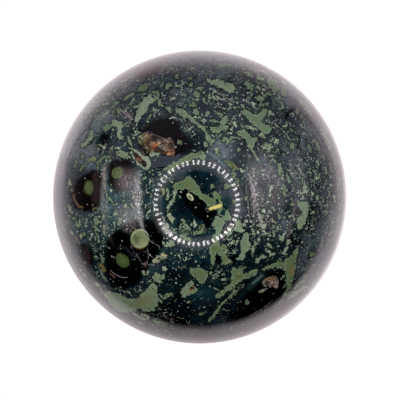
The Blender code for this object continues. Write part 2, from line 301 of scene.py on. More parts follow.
# Thin marks: tone, wear, width and the points that each run goes through.
STROKES = {
    "ring_crescent": (MOSS, WORN, 1.6, [(166.4, 186.6), (168.4, 190), (168.8, 194), (167.2, 198.6)]),
    "loop_spur": (SAGE, WORN, 1.6, [(176, 192), (178, 195), (180, 196.4)]),
    "curl_three": (PALE, WORN, 1.8, [(269.6, 255.8), (272, 253.8), (275, 254.2)]),
    "loop_left": (PALE, WORN, 3.2, [(174.2, 191.5), (174.4, 198), (171.4, 202.6), (168.6, 205.6),
        (168.8, 210.4), (169.8, 215.6), (172.2, 220.6)]),
    "arc_left_of_vug": (SAGE, WORN, 2, [(128.3, 135.6), (129, 140.6), (130.4, 144)]),
    "small_arc": (SAGE, WORN, 1.8, [(113, 113), (115, 110), (117, 109), (119, 111), (118, 115)]),
    "upper_left_streak": (SAGE, WORN, 2.4, [(125, 99.5), (129, 96), (132, 94)]),
    "eye_arc": (MOSS, WORN, 2.2, [(98, 163), (101, 160), (104, 157), (109, 157)]),
    "outer_eye_arc": (SAGE, WORN, 1.6, [(80, 170), (84, 166), (86, 163)]),
    "small_cup": (SAGE, WORN, 1.4, [(71.5, 166), (74, 166.5), (76, 163), (76, 161)]),
    "left_small_ring": (SAGE, WORN, 1.2, [(80.8, 157.5), (82, 155.6), (83.5, 157), (82.5, 158.8),
        (80.8, 158)]),
    "yellow_line": (CREAM, WORN, 1.3, [(97.6, 144), (100.6, 145.2), (104.4, 147.8)]),
    "yellow_end": (CREAM, WORN, 1.1, [(104.2, 148.6), (107.4, 150), (110, 152.4)]),
    "rim_cream_one": (CREAM, WORN, 1.4, [(129.3, 77.1), (134.3, 76.4)]),
    "rim_cream_two": (CREAM, BROKEN, 1.8, [(134, 83.5), (139, 80.5)]),
    "far_left_pale": (PALE, WORN, 1.3, [(121, 81.5), (127, 79)], [(114, 92), (116, 90)], [(107, 95),
        (110, 92.5)], [(103, 105), (107, 103)]),
    "far_left_green": (SAGE, WORN, 1.3, [(108, 105), (110, 101.5)], [(114.5, 104.5), (116, 102.5),
        (119, 101.5)]),
    "brow": (SAGE, WHOLE, 2.8, [(227, 145), (228, 141), (230, 138), (235, 137), (239, 138.5)]),
    "second_tail": (SAGE, WHOLE, 2, [(250.5, 148), (253, 152), (255, 156), (258, 159.5)]),
    "rim_dash": (SAGE, WORN, 1.4, [(276, 98), (280, 103)]),
    "inverted_cup": (SAGE, WORN, 1.8, [(270, 163), (271, 160), (274, 159.5), (276, 162)]),
    "broken_ring": (SAGE, BROKEN, 1.8, [(287, 134), (290, 130), (295, 131), (298, 135)], [(288, 137),
        (292, 140), (297, 139)]),
    "right_streak": (SAGE, WORN, 2, [(308, 145), (311, 152)]),
    "rim_streak_one": (PALE, BROKEN, 4, [(322, 130), (327, 140), (330, 148)]),
    "rim_streak_two": (PALE, BROKEN, 2.2, [(330, 164), (332, 171)]),
    "bluish_streak": (PALE, BROKEN, 1.8, [(222.5, 104), (225, 109)]),
    "cloud_streak": (PALE, BROKEN, 1.6, [(181, 95), (188, 94.5)]),
    "inner_curve": (PALE, WORN, 1.8, [(166.5, 188), (168.5, 193), (167.5, 199)]),
    "left_rim_arcs": (PALE, WORN, 1.4, [(68, 204), (69.5, 208), (71, 212), (72, 214)], [(71, 231),
        (72.5, 234)]),
    "left_chain": (SAGE, WORN, 1.6, [(91.5, 222), (91.5, 226)], [(94, 226), (96, 229), (99, 231)],
        [(102, 214), (103, 218)]),
    "left_chain_broken": (SAGE, BROKEN, 1.8, [(95, 230), (98, 236), (99, 243)], [(101, 254), (103, 262)]),
    "left_twig": (SAGE, WORN, 2, [(111, 200), (113, 202), (115, 205)]),
    "left_tail": (PALE, WORN, 1.8, [(106, 193), (108, 197), (110, 200)]),
    "cream_spot": (CREAM, WORN, 2, [(80.5, 235), (82, 238)]),
    "right_curls": (SAGE, WORN, 1.6, [(252, 230), (254, 232), (254.5, 236)], [(273, 232), (275, 236)],
        [(272, 208), (277, 213), (280, 218)], [(282, 253), (286, 254)]),
    "low_right_curls": (PALE, WORN, 2, [(268, 244.2), (269.6, 246.2), (273, 247.6)], [(265.4, 246.5),
        (266.6, 249.8), (269.8, 252.4)]),
    "big_curl": (PALE, WORN, 2.4, [(289, 241), (287, 245), (286, 250), (284, 253)]),
    "broken_crescent": (SAGE, WORN, 2.2, [(226, 250), (229, 253), (233, 253), (237, 250)]),
    "low_curls": (PALE, WORN, 1.4, [(171, 253), (174, 256), (178, 254), (180, 258)]),
    "mint_curl": (PALE, WORN, 1.8, [(143, 273), (146, 276), (150, 270)]),
    "low_band": (MOSS, WORN, 2.2, [(209, 320), (213, 316), (217, 311), (220, 306.5), (223.5, 302),
        (227.5, 299), (231, 296)]),
    "low_band_foot": (MOSS, WORN, 3.4, [(214, 315), (211.6, 318.2)]),
    "low_band_middle": (MOSS, WORN, 2, [(232.4, 294), (237.4, 291)]),
    "low_band_end": (MOSS, BROKEN, 1.8, [(239, 288.4), (243.4, 286)]),
    "low_ring": (MOSS, WORN, 1.2, [(245, 302), (246.5, 300.8), (248, 302.4), (246.6, 304), (245, 303)]),
    "lens_dash": (CREAM, WORN, 1.5, [(260, 292), (265, 289.5)]),
    "lens_greens": (SAGE, WORN, 1.5, [(281, 279), (284, 276)], [(282, 288), (285, 286)]),
    "rim_smear": (SAGE, WORN, 3.4, [(290, 297), (297, 293), (305, 287)]),
    "rim_smear_high": (SAGE, BROKEN, 2.6, [(296, 288), (303, 281)]),
    "stalk_one": (SAGE, WORN, 1.6, [(160, 295), (164, 299)]),
    "stalk_two": (SAGE, WORN, 1.4, [(158, 299), (162, 302)]),
    "low_streak_one": (CREAM, WORN, 1.4, [(141, 313), (148, 317)]),
    "low_streak_two": (PALE, WORN, 1.4, [(134, 314), (140, 318), (148, 318.5)]),
    "low_green": (MOSS, WORN, 2, [(200, 314), (206, 311)]),
    "below_slit": (SAGE, BROKEN, 1.8, [(149, 170), (155, 175)]),
    "right_of_vug": (SAGE, BROKEN, 1.6, [(150, 116), (148, 122)]),
    "rim_flecks": (PALE, WORN, 1.4, [(80, 270), (86, 277)], [(92, 281), (98, 285), (106, 298)]),
}

# The orbs. Each is a green eye: place, half sizes, turn of its first half size from level in degrees,
# how crisp its edge is, and its paints from the edge to the heart.
EYES = {
    "first": ((88.9, 187.5), 5, 7.5, -4, 0.5, rgb(66, 80, 54), rgb(107, 122, 82), rgb(111, 124, 84)),
    "second_haze": ((118, 172.3), 8, 6.4, -48, 0.4, rgb(38, 40, 36), rgb(60, 66, 52), rgb(80, 88, 66)),
    "second": ((117.3, 172.8), 5.6, 5, -48, 1.1, rgb(126, 146, 98), rgb(94, 114, 68), rgb(128, 150, 98)),
    "third": ((122.8, 260.8), 7.8, 6.2, 45, 1.2, rgb(60, 77, 43), rgb(85, 107, 61), rgb(102, 121, 74)),
    "fourth": ((139.8, 238.7), 9.3, 9.9, 0, 1.3, rgb(148, 164, 120), rgb(138, 158, 114), rgb(126, 144, 104)),
    "ring_seed": ((190.2, 197), 4.7, 2.5, 48, 1.6, rgb(176, 192, 152), rgb(226, 228, 188), rgb(92, 78, 52)),
    "ring_bead": ((162.6, 191.6), 2.6, 4, 0, 1.6, rgb(150, 168, 126), rgb(134, 148, 108), rgb(120, 132, 96)),
}

# Dabs of other paint on the orbs and grounds: paint, strength, width and the points of each run. A few
# are painted light: a warm lamp's reflection, highlights on two orbs and sheen near the upper right rim.
DABS = {
    # Painted reflection of a small warm lamp: the yellow dash, with its line and its tip.
    "yellow_lamp_reflection": (rgb(255, 244, 150), 1, 3.4, [(210.8, 208.8), (215.5, 207.2), (220.4, 205.6)]),
    "yellow_lamp_reflection_line": (rgb(206, 178, 84), 0.45, 0.6, [(211, 210), (216, 208.8)]),
    "yellow_lamp_reflection_tip": (rgb(110, 118, 96), 0.9, 2, [(206, 208.6), (208, 208.6)]),
    "left_yellow_light": (rgb(150, 164, 112), 0.8, 2.6, [(90, 160), (94.5, 158.2)]),
    "first_eye_light": (rgb(122, 128, 96), 0.6, 2.4, [(87.6, 184.6), (88.4, 188.6)]),
    "orb_sector": (rgb(170, 182, 128), 0.7, 5, [(142, 243), (145, 243.4)]),
    "orb_shade": (rgb(88, 104, 70), 0.7, 5, [(135.4, 237), (137, 241)]),
    "orb_heart": (BROWN, 0.7, 1.7, [(138.6, 238.4), (139.6, 238.8)]),
    # Painted highlights on the fourth orb.
    "orb_painted_highlights": (rgb(206, 212, 168), 0.8, 1.3, [(132.6, 235.6), (134, 233), (137, 230.8), (140.5, 229.8),
        (144, 231.2)], [(136, 246.2), (141, 247.2), (145.5, 244.5)]),
    "orb_edge": (BROWN, 0.8, 1, [(130.6, 243), (133.4, 246.9), (138, 249), (143.4, 248.6)]),
    "bead_black": (INK, 0.95, 2.6, [(160.4, 191.8), (161.6, 194.6)]),
    # A painted highlight on the third orb.
    "orb_painted_highlight": (rgb(176, 172, 132), 0.9, 1.8, [(118.6, 254.9), (119.8, 254.5)]),
    "grey_arc": (SLATE, 0.5, 1.6, [(118, 248), (125.8, 248), (131, 254), (135.8, 257.6)]),
    "grey_arc_top": (rgb(84, 84, 94), 0.5, 1.2, [(130, 231), (133.5, 227), (140, 225), (147, 226)]),
    "low_tan": (rgb(140, 112, 96), 0.7, 1.2, [(110, 273.6), (114.6, 277.4)]),
    "crack_brown": (BROWN, 0.8, 2, [(144.6, 262.4), (145.2, 266.6)]),
    "yellow_patch": (rgb(134, 124, 68), 0.9, 2.8, [(100.8, 264.4), (103, 267.4), (104.4, 270.4)]),
    "tan_crescent": (TAN, 0.8, 1.5, [(73.5, 195), (74.5, 200), (77, 204), (79.5, 207), (82.5, 207.5)]),
    "tan_chip": (BONE, 0.8, 1.4, [(71, 189.5), (72.5, 191)]),
    "yellow_chips": (rgb(134, 134, 88), 0.8, 1.4, [(93, 208.8), (96, 208.3), (99, 208.6)]),
    "tan_by_rim": (TAN, 0.8, 2.2, [(75.6, 237), (77, 240)]),
    "seed_core": (UMBER, 0.95, 2, [(157.6, 259.6), (159.6, 258.2)]),
    "seed_grey": (ASH, 0.7, 1.6, [(155, 262.4), (156.8, 261.2)]),
    "ring_core": (UMBER, 0.9, 1.6, [(188.6, 196), (190.8, 198.8)]),
    "curl_core": (UMBER, 0.9, 1.4, [(201.6, 225.6), (200.6, 228.8), (199, 230.4)]),
    "patch_core": (rgb(36, 14, 8), 0.9, 3, [(191, 288.4), (193, 288.8)]),
    "patch_ember": (rgb(150, 96, 60), 0.6, 1.1, [(190, 290), (192.6, 290.4)]),
    "patch_rust": (rgb(150, 122, 74), 0.8, 1.3, [(186.8, 292.8), (187.4, 293.6)]),
    "patch_bone": (STRAW_GREEN, 0.9, 1.5, [(188, 292.4), (189.4, 291.8)]),
    "chip_specks": (STRAW_GREEN, 0.9, 1.3, [(156, 276.4), (158.8, 275.6)]),
    "fan_stain": (rgb(168, 128, 62), 0.5, 4.4, [(292, 268), (292.2, 273)]),
    "triangle_core": (BROWN, 0.8, 1.6, [(261.8, 136.4), (262.4, 138)]),
    "olive_orange": (RUST, 0.7, 1.3, [(235.3, 167), (235.8, 167.4)]),
    "top_pore": (rgb(48, 54, 40), 0.9, 1.5, [(225.3, 84.4), (225.8, 84.8)]),
    "rim_pore": (BROWN, 0.8, 1.7, [(271.6, 85.8), (272.4, 86.4)]),
    "low_patch_heart": (rgb(138, 132, 88), 0.55, 9, [(140, 303), (147, 300)]),
    "fork_cream": (rgb(196, 190, 150), 0.8, 1.6, [(238.2, 274), (238.9, 274.4)]),
    "fork_olive": (rgb(112, 108, 72), 0.7, 4, [(237.6, 276), (240, 277)]),
    "rust_dots": (RUST, 0.5, 1, [(272.6, 195.4), (273.4, 197.4)], [(274.2, 200.6), (274.6, 202.4)]),
    "wine_dot": (rgb(100, 58, 66), 0.7, 2, [(244.2, 64.4), (244.9, 64.7)]),
    "wine_cloud": (rgb(84, 40, 58), 0.8, 9, [(141, 73), (150, 69), (158, 66)]),
    "lens_wine": (rgb(70, 52, 60), 0.6, 4.6, [(85.6, 249), (88.6, 258)]),
    "eye_wine": (rgb(60, 46, 46), 0.6, 7, [(95, 176), (97, 188), (96, 200)]),
    "low_pinks": (rgb(150, 128, 124), 0.7, 1.2, [(163.5, 315), (167, 318)], [(170, 320), (173, 318.5)]),
    "faint_band": (rgb(92, 92, 100), 0.55, 2.8, [(288, 161), (292, 169), (295, 179), (296.4, 190)]),
    "mauve_band": (rgb(112, 102, 110), 0.6, 3.2, [(296, 200), (295, 207), (293, 218), (290, 228),
        (288, 236)]),
    "teal_run": (rgb(44, 70, 72), 0.3, 4, [(216, 264), (216.5, 272), (216, 283)]),
    "arm_pit": (INK, 0.95, 1.7, [(278.4, 260), (280.6, 261)]),
    "teal_band_low": (rgb(20, 44, 50), 0.5, 5, [(232, 309), (238, 300), (244, 292), (249, 287)]),
    "teal_band_wide": (rgb(40, 66, 70), 0.6, 5.6, [(249.4, 287.4), (256, 280.6), (262.6, 275)]),
    "teal_band": (rgb(104, 134, 130), 0.75, 2, [(252.6, 283.4), (257.4, 279.6), (262, 275.4)]),
    # Painted sheen of the rim's reflection, over the upper right rim.
    "top_rim_painted_sheen": (rgb(118, 110, 120), 0.4, 11, [(291, 97), (304, 112), (316, 131), (324, 152)]),
    "top_crack": (INK, 1, 3, [(285.9, 118.6), (288.2, 113.4), (290.9, 110.6), (293.8, 109.4)]),
    "top_crack_far": (INK, 0.95, 2, [(301, 110.8), (304.5, 114.2), (308, 118.4), (311.5, 123.4)]),
    "top_crack_knob": (rgb(128, 136, 108), 0.8, 2.6, [(296.4, 108), (297.8, 110.8)]),
    "net_slit": (rgb(30, 26, 24), 0.85, 1.8, [(154.6, 93.6), (156.4, 96.4)]),
    "left_core_pink": (rgb(128, 96, 96), 0.6, 1.2, [(100, 129.4), (101.6, 128.6)]),
    "pale_orb_ring": (rgb(118, 128, 100), 0.5, 1.2, [(116.4, 258), (117.6, 255), (121, 253.8)]),
}

# Lines too thin for the marks: scratches, healed cracks and dark shores, and bright streaks that are painted
# reflections and highlights. Each has its paint, strength, half width and the points of each run.
LINES = {
    "shores": (INK, 1, 0.8, [(66.4, 176), (67.4, 163.5), (70.8, 152), (75.6, 142.6), (82, 133.7),
        (88.5, 127), (93, 120)], [(330, 224), (328, 232), (324.5, 242.6), (320.2, 252), (313.8, 262.8),
        (307.4, 270.2), (302, 274.6), (293, 282.6)]),
    "eye_gap_dark": (INK, 0.7, 0.5, [(102, 165), (102.6, 174), (103, 183)]),
    # A cream streak of painted highlight on the bank beside the first eye.
    "bank_cream_highlight": (rgb(180, 158, 126), 0.9, 0.5, [(103.6, 165), (104.2, 170), (103.8, 175), (104.4, 180),
        (105.2, 186), (105.8, 191)]),
    "eye_gap_low": (rgb(150, 166, 144), 0.6, 0.5, [(106, 194), (106.8, 201), (107.6, 209), (108.6, 216)]),
    "low_left_shore": (INK, 0.8, 0.6, [(82, 262), (88, 270), (95, 278), (103, 286), (108, 291)]),
    "below_clearing": (INK, 0.9, 0.9, [(153.6, 168.6), (159, 167.8), (167.4, 166.4)]),
    "inner_right": (INK, 0.7, 0.7, [(300, 111), (306, 117), (312, 123), (317, 130), (322, 140), (328, 150),
        (331, 158), (333, 170), (335, 180)]),
    "heart_slit": (INK, 0.9, 0.7, [(240, 268), (244, 267)]),
    "brown_slit_one": (rgb(124, 90, 86), 0.8, 0.55, [(247, 65), (254, 69), (260, 72), (265, 75)]),
    "brown_slit_two": (rgb(88, 64, 62), 1, 0.85, [(303, 104), (306, 107), (310, 111), (314, 116)]),
    "pale_slit": (rgb(150, 146, 142), 0.7, 0.5, [(256, 71), (262, 77)]),
    "pale_slit_two": (rgb(150, 150, 148), 0.7, 0.5, [(300, 110.4), (305, 114.3)]),
    "net_line": (FROST, 0.8, 0.45, [(153.5, 95), (156, 98.5)]),
    "scratch_one": (PINK_WHITE, 0.6, 0.4, [(109.5, 114), (116.5, 120.5)]),
    "scratch_two": (PINK_WHITE, 0.7, 0.42, [(119.4, 107.8), (130.5, 118.9)]),
    "scratch_three": (PINK_WHITE, 0.6, 0.4, [(123.2, 108.4), (132.4, 117.4)]),
    "scratch_four": (PINK_WHITE, 0.5, 0.4, [(119, 112), (124.5, 118)]),
    "scratch_five": (PINK_WHITE, 0.3, 0.36, [(103.6, 148.6), (113, 157.5)]),
    "scratch_six": (PINK_WHITE, 0.4, 0.3, [(109.2, 147.4), (121.4, 161)]),
    "fine_pair": (BONE, 0.7, 0.42, [(150, 86), (153, 82.5)], [(155, 83.5), (157.5, 81.5)]),
    "low_edge": (BONE, 0.5, 0.4, [(250, 316), (262, 309), (272, 301)]),
    "crack_one": (rgb(134, 136, 146), 0.7, 0.4, [(131, 246), (134, 252), (138.6, 257.4), (141.6, 263),
        (145, 265.4), (149.5, 264.6), (154, 265.4)]),
    "crack_two": (rgb(166, 164, 170), 0.75, 0.42, [(147, 248), (148.5, 254), (148, 260), (146.4, 264.6)]),
    "crack_three": (rgb(150, 152, 160), 0.75, 0.4, [(150.2, 241), (155, 244), (159, 246), (160, 249)]),
    "crack_four": (rgb(74, 80, 92), 0.5, 0.5, [(148.5, 246), (146, 250.5), (139, 253.5), (136.6, 255.5)]),
    "crack_white": (rgb(190, 186, 186), 0.8, 0.42, [(140, 262), (143, 264), (148, 264)]),
    "pale_arc": (rgb(178, 170, 174), 0.8, 0.42, [(110.5, 270), (113.5, 273.5), (118, 275.8), (123, 277.5),
        (127, 277.5)]),
    "orb_cracks": (STRAW_GREEN, 0.8, 0.42, [(139.5, 239.2), (149, 239.5)], [(139.8, 239.4), (138.2, 242.6),
        (137.5, 246)]),
    "orb_dark_crack": (INK, 0.9, 0.6, [(143.4, 231.4), (147.4, 235.6)]),
    "orb_white_crack": (FROST, 0.8, 0.4, [(145.4, 231), (148.4, 234.2)]),
    # Pink streaks of painted highlight on the same bank.
    "bank_highlight_streak_one": (rgb(176, 158, 144), 0.5, 0.4, [(101.6, 164), (103, 171), (102, 178), (104, 186)]),
    "bank_highlight_streak_two": (rgb(176, 160, 158), 0.45, 0.4, [(106.4, 166), (104.4, 173), (106.8, 181),
        (105, 190)]),
    # Painted reflections of the right window's edge, over the pitted pool.
    "window_reflection_run_one": (rgb(150, 160, 146), 0.85, 0.5, [(245.6, 184), (247, 196), (248.6, 208),
        (249.6, 219)]),
    "window_reflection_run_two": (rgb(206, 192, 194), 0.9, 0.6, [(248.5, 174), (251.5, 181), (252.5, 185), (254.5, 190),
        (255, 197), (257, 204), (258.5, 213), (261, 222), (262.5, 230)]),
    "window_reflection_run_three": (rgb(178, 166, 170), 0.75, 0.5, [(249.5, 181), (252, 192), (253.5, 201),
        (254, 214)]),
}

# The dark grounds that orbs and vugs lie in: how brown each is, and its outline.
GROUNDS = {
    "left_core": (0.6, [(99.5, 139.5), (102, 137), (101.4, 134), (105, 135), (108.6, 135.6), (109, 140),
        (105.6, 141.6), (105, 145), (102, 144)]),
    "first_eye": (1, [(94, 168.8), (100.6, 170.6), (103, 181), (102.6, 191), (100.6, 200.6), (98.2, 208.7),
        (90, 212.7), (82, 212), (74.8, 207.9), (71.6, 200.6), (71.6, 192.6), (74, 185.5), (80.6, 177.4),
        (87, 172.4)]),
    "second_eye": (1, [(108, 165), (116, 159), (127, 159), (134, 166), (134, 180), (127, 190), (116, 192),
        (109, 186), (107, 174)]),
    "low_eyes": (0, [(128, 222), (141, 219), (152, 221), (158, 213), (163, 222), (166, 236), (163, 246),
        (156, 256), (150, 266), (143, 278), (134, 286), (122, 289), (112, 286), (106, 274), (104.6, 258),
        (106, 243), (114.6, 232)]),
    "left_lens": (1, [(80.4, 245.4), (84.6, 244), (89, 247.6), (92, 252), (93.4, 259), (93.6, 266),
        (90, 266), (86, 262), (82.4, 256), (80, 249)]),
    "vug": (0.8, [(140, 133), (146, 124), (156, 118), (168, 117), (178, 122), (183, 131), (190, 141),
        (196, 146), (188, 153), (177, 157), (160, 158), (148, 156), (141, 150), (138, 141)]),
    "ring_heart": (0, [(177, 190), (187, 188), (193, 193), (201, 198), (207, 206), (216, 210), (217, 215),
        (212, 221), (210.6, 226), (206, 229), (203.6, 226), (203, 222), (198, 220), (195, 215), (189, 210),
        (185, 203), (181, 198), (177, 195)]),
    "ring_dot": (0, [(178, 222), (181, 221), (180, 226), (177, 228)]),
    "low_right": (0, [(262, 271), (284, 272), (288, 284), (283, 296), (268, 307), (249, 317), (229, 320),
        (230, 309), (240, 294), (253, 281)]),
    "rim_wine": (1, [(138, 76), (146, 69), (158, 67), (156, 73), (146, 79)]),
    "under_bank": (0, [(215, 254), (221, 257), (222, 264), (216, 266), (214, 262)]),
    "left_of_river": (0, [(236, 252), (240, 260), (232, 264), (230, 256)]),
}

# A clearer slate window in the ground, under the great vug.
CLEARING = [
    (150, 156), (155, 154), (163, 155), (170, 157), (176, 155), (182, 153), (178, 158), (172, 163),
    (168, 166), (160, 167), (154, 169), (151, 166),
]

# Open vugs and pits: depth of the floor in metres, and outline.
VUGS = {
    "great_vug": (0.0007, [(138, 138), (140, 136), (144, 133), (148, 132), (152, 134), (157, 136.5),
        (161, 138.5), (166, 139), (171, 139), (173, 142), (174, 146), (174.5, 150), (174.5, 154),
        (173, 155.6), (168, 155.6), (165, 153.5), (160, 152.5), (153, 152), (148, 151), (143, 146),
        (140, 143.5), (138, 142)]),
    "round_hole": (0.0012, [(140.8, 151), (142.4, 147.8), (145.6, 146.8), (148.8, 148.8), (149.6, 152.2),
        (147.4, 155.2), (143.8, 155.6), (141.4, 153.8)]),
    "slit": (0.0004, [(130.6, 148.4), (133.6, 151), (136.8, 153.4), (140, 156.4), (142, 159.4), (145, 160.8),
        (146.4, 164), (145.6, 167.4), (143, 166.2), (140.4, 163.2), (137.2, 161), (134.6, 157.8),
        (132.2, 153.6)]),
    "lower_vug": (0.0004, [(262, 283.5), (265, 279.5), (268, 277.5), (272, 276.5), (276, 276.5), (278, 280),
        (278.6, 285), (277.6, 288.6), (273, 286.6), (268, 286.4), (264, 287)]),
    "patch_pit": (0.0003, [(190, 288), (191.6, 286.4), (194, 287.4), (194, 290), (191.4, 290.6)]),
    "seed_pit": (0.0003, [(157, 259.6), (158.6, 257.4), (160.4, 257.8), (159.2, 260.4)]),
    "bead_pit": (0.0003, [(160, 191.6), (161.6, 190.4), (162.2, 194), (160.4, 195.6)]),
}

# What shows inside the vugs: paint, reach and place of each soft patch. The white crystals and the glints are
# painted highlights, and the dark upper wall, the black holes and gaps and the round hole are painted shade.
VUG_PAINTS = {
    "green_rim": (rgb(148, 166, 120), 2.2, (139.8, 139.6)),
    "olive_wall": (rgb(140, 116, 62), 3.2, (144.6, 140.6)),
    "umber_fold": (UMBER, 1.2, (146, 137.5)),
    "olive_floor": (rgb(124, 98, 54), 2.6, (148, 146.4)),
    "rosy_lip": (rgb(122, 92, 74), 2.2, (149, 134.4)),
    # Painted shadow under the great vug's upper edge.
    "brown_wall_shadow": (rgb(58, 42, 33), 3.2, (156, 137)),
    "ash_middle": (rgb(150, 124, 96), 2.2, (150.4, 141.6)),
    "rust_seam": (rgb(226, 122, 72), 1.7, (153.5, 143.5)),
    "rust_drop": (rgb(190, 92, 50), 1.2, (154.6, 146.6)),
    "ember": (AMBER, 1.1, (158.5, 142.5)),
    # Painted highlights on the crystals.
    "crystal_highlight_one": (FROST, 0.8, (158, 140.3)),
    "crystal_highlight_two": (rgb(214, 220, 228), 1.1, (160.8, 143.6)),
    "crystal_highlight_three": (BONE, 1.2, (162.8, 146)),
    # Painted shade in the holes and gaps between the crystals.
    "shaded_black_hole": (INK, 1.4, (156.6, 146.4)),
    "shade_gap_one": (INK, 1, (152, 138.2)),
    "shade_gap_two": (INK, 0.9, (147.6, 141.6)),
    "shade_gap_three": (INK, 0.9, (161.6, 142.4)),
    "shade_gap_four": (INK, 0.9, (163.4, 149)),
    "shade_gap_five": (INK, 0.8, (159.9, 143.4)),
    # Painted glints.
    "gold_glint": (rgb(252, 216, 122), 0.8, (157.8, 143)),
    "bone_glint": (BONE, 0.7, (152.6, 142)),
    "bone_glint_east": (BONE, 0.7, (166.4, 140.4)),
    "rosy_glint": (rgb(226, 200, 196), 1.2, (162.6, 146)),
    "gold_glint_west": (rgb(206, 178, 110), 0.9, (145.4, 136.4)),
    "brown_floor": (rgb(78, 56, 38), 2.6, (155.4, 149.4)),
    "dark_ledge": (rgb(50, 36, 30), 2, (161, 149.4)),
    "grey_shelf": (rgb(143, 120, 102), 2.8, (166, 142.6)),
    "grey_shelf_low": (rgb(124, 104, 88), 2.2, (165.4, 147)),
    "shelf_spot": (INK, 1.3, (170.5, 145)),
    "shelf_edge": (rgb(128, 102, 84), 1.6, (173, 147.6)),
    "peach": (rgb(246, 190, 136), 2.8, (168.4, 153)),
    "orange_one": (AMBER, 1.1, (164.8, 151.8)),
    "orange_two": (AMBER, 1.3, (172.2, 153.2)),
    "cream_lip": (rgb(186, 186, 140), 1.6, (151.6, 151.4)),
    "cream_lip_low": (rgb(160, 168, 132), 1.4, (158.6, 152)),
    # Painted shade filling the round hole.
    "round_hole_shade": (INK, 5, (145, 151.6)),
    "slit_floor": (rgb(56, 30, 24), 4.4, (135, 154)),
    "slit_red": (rgb(146, 80, 54), 1.4, (138, 158.4)),
    "slit_dark": (rgb(36, 18, 14), 2.6, (143.4, 163.4)),
    "lower_gold": (sparkling(186, 156, 74), 2.2, (268, 279.6)),
    "lower_gold_east": (sparkling(160, 128, 62), 1.6, (273.6, 279)),
    "lower_bone_west": (sparkling(170, 150, 130), 1.2, (266, 282.6)),
    "lower_bone": (sparkling(190, 170, 150), 1.2, (271.4, 281.8)),
    "lower_bone_east": (sparkling(196, 184, 176), 1.2, (276.2, 283.4)),
    "lower_pink": (sparkling(206, 150, 126), 1.4, (272.6, 283.6)),
    "lower_pink_foot": (sparkling(176, 124, 100), 1.3, (275.4, 286.8)),
    "lower_gap": (sparkling(20, 14, 10), 1.8, (270.6, 286.4)),
    "lower_gap_west": (sparkling(16, 12, 10), 1.6, (264.4, 286)),
    "lower_gap_middle": (sparkling(24, 16, 12), 0.9, (275.4, 281)),
    "pit_ember": (RUST, 1.6, (192, 289.6)),
    "seed_umber": (UMBER, 2, (158.6, 259)),
    "bead_ink": (INK, 2, (161, 193)),
}

# Where the polish is finely pitted, so that bright reflections break up: reach, strength and place. The same
# patches also get pale specks of painted sparkle in the stone's colour.
PITTED = {
    "bank_high": (9, 0.7, (134, 178)),
    "bank_middle": (8, 1, (137, 195)),
    "bank_low": (7, 1, (137, 214)),
    "bank_foot": (8, 0.8, (129, 226)),
    "second_eye_side": (9, 0.8, (128, 181)),
    "column_high": (4, 0.8, (104, 172)),
    "column_middle": (4, 0.8, (105, 190)),
    "column_low": (5, 0.9, (105, 208)),
    "column_foot": (5, 0.8, (104, 228)),
    "ring_foot": (6, 0.4, (167, 229)),
    "pool_left": (9, 1, (252, 176)),
    "pool_high": (10, 1, (267, 174)),
    "pool_middle": (11, 1, (258, 199)),
    "pool_low": (9, 0.9, (264, 221)),
    "pool_right": (10, 0.7, (275, 185)),
}
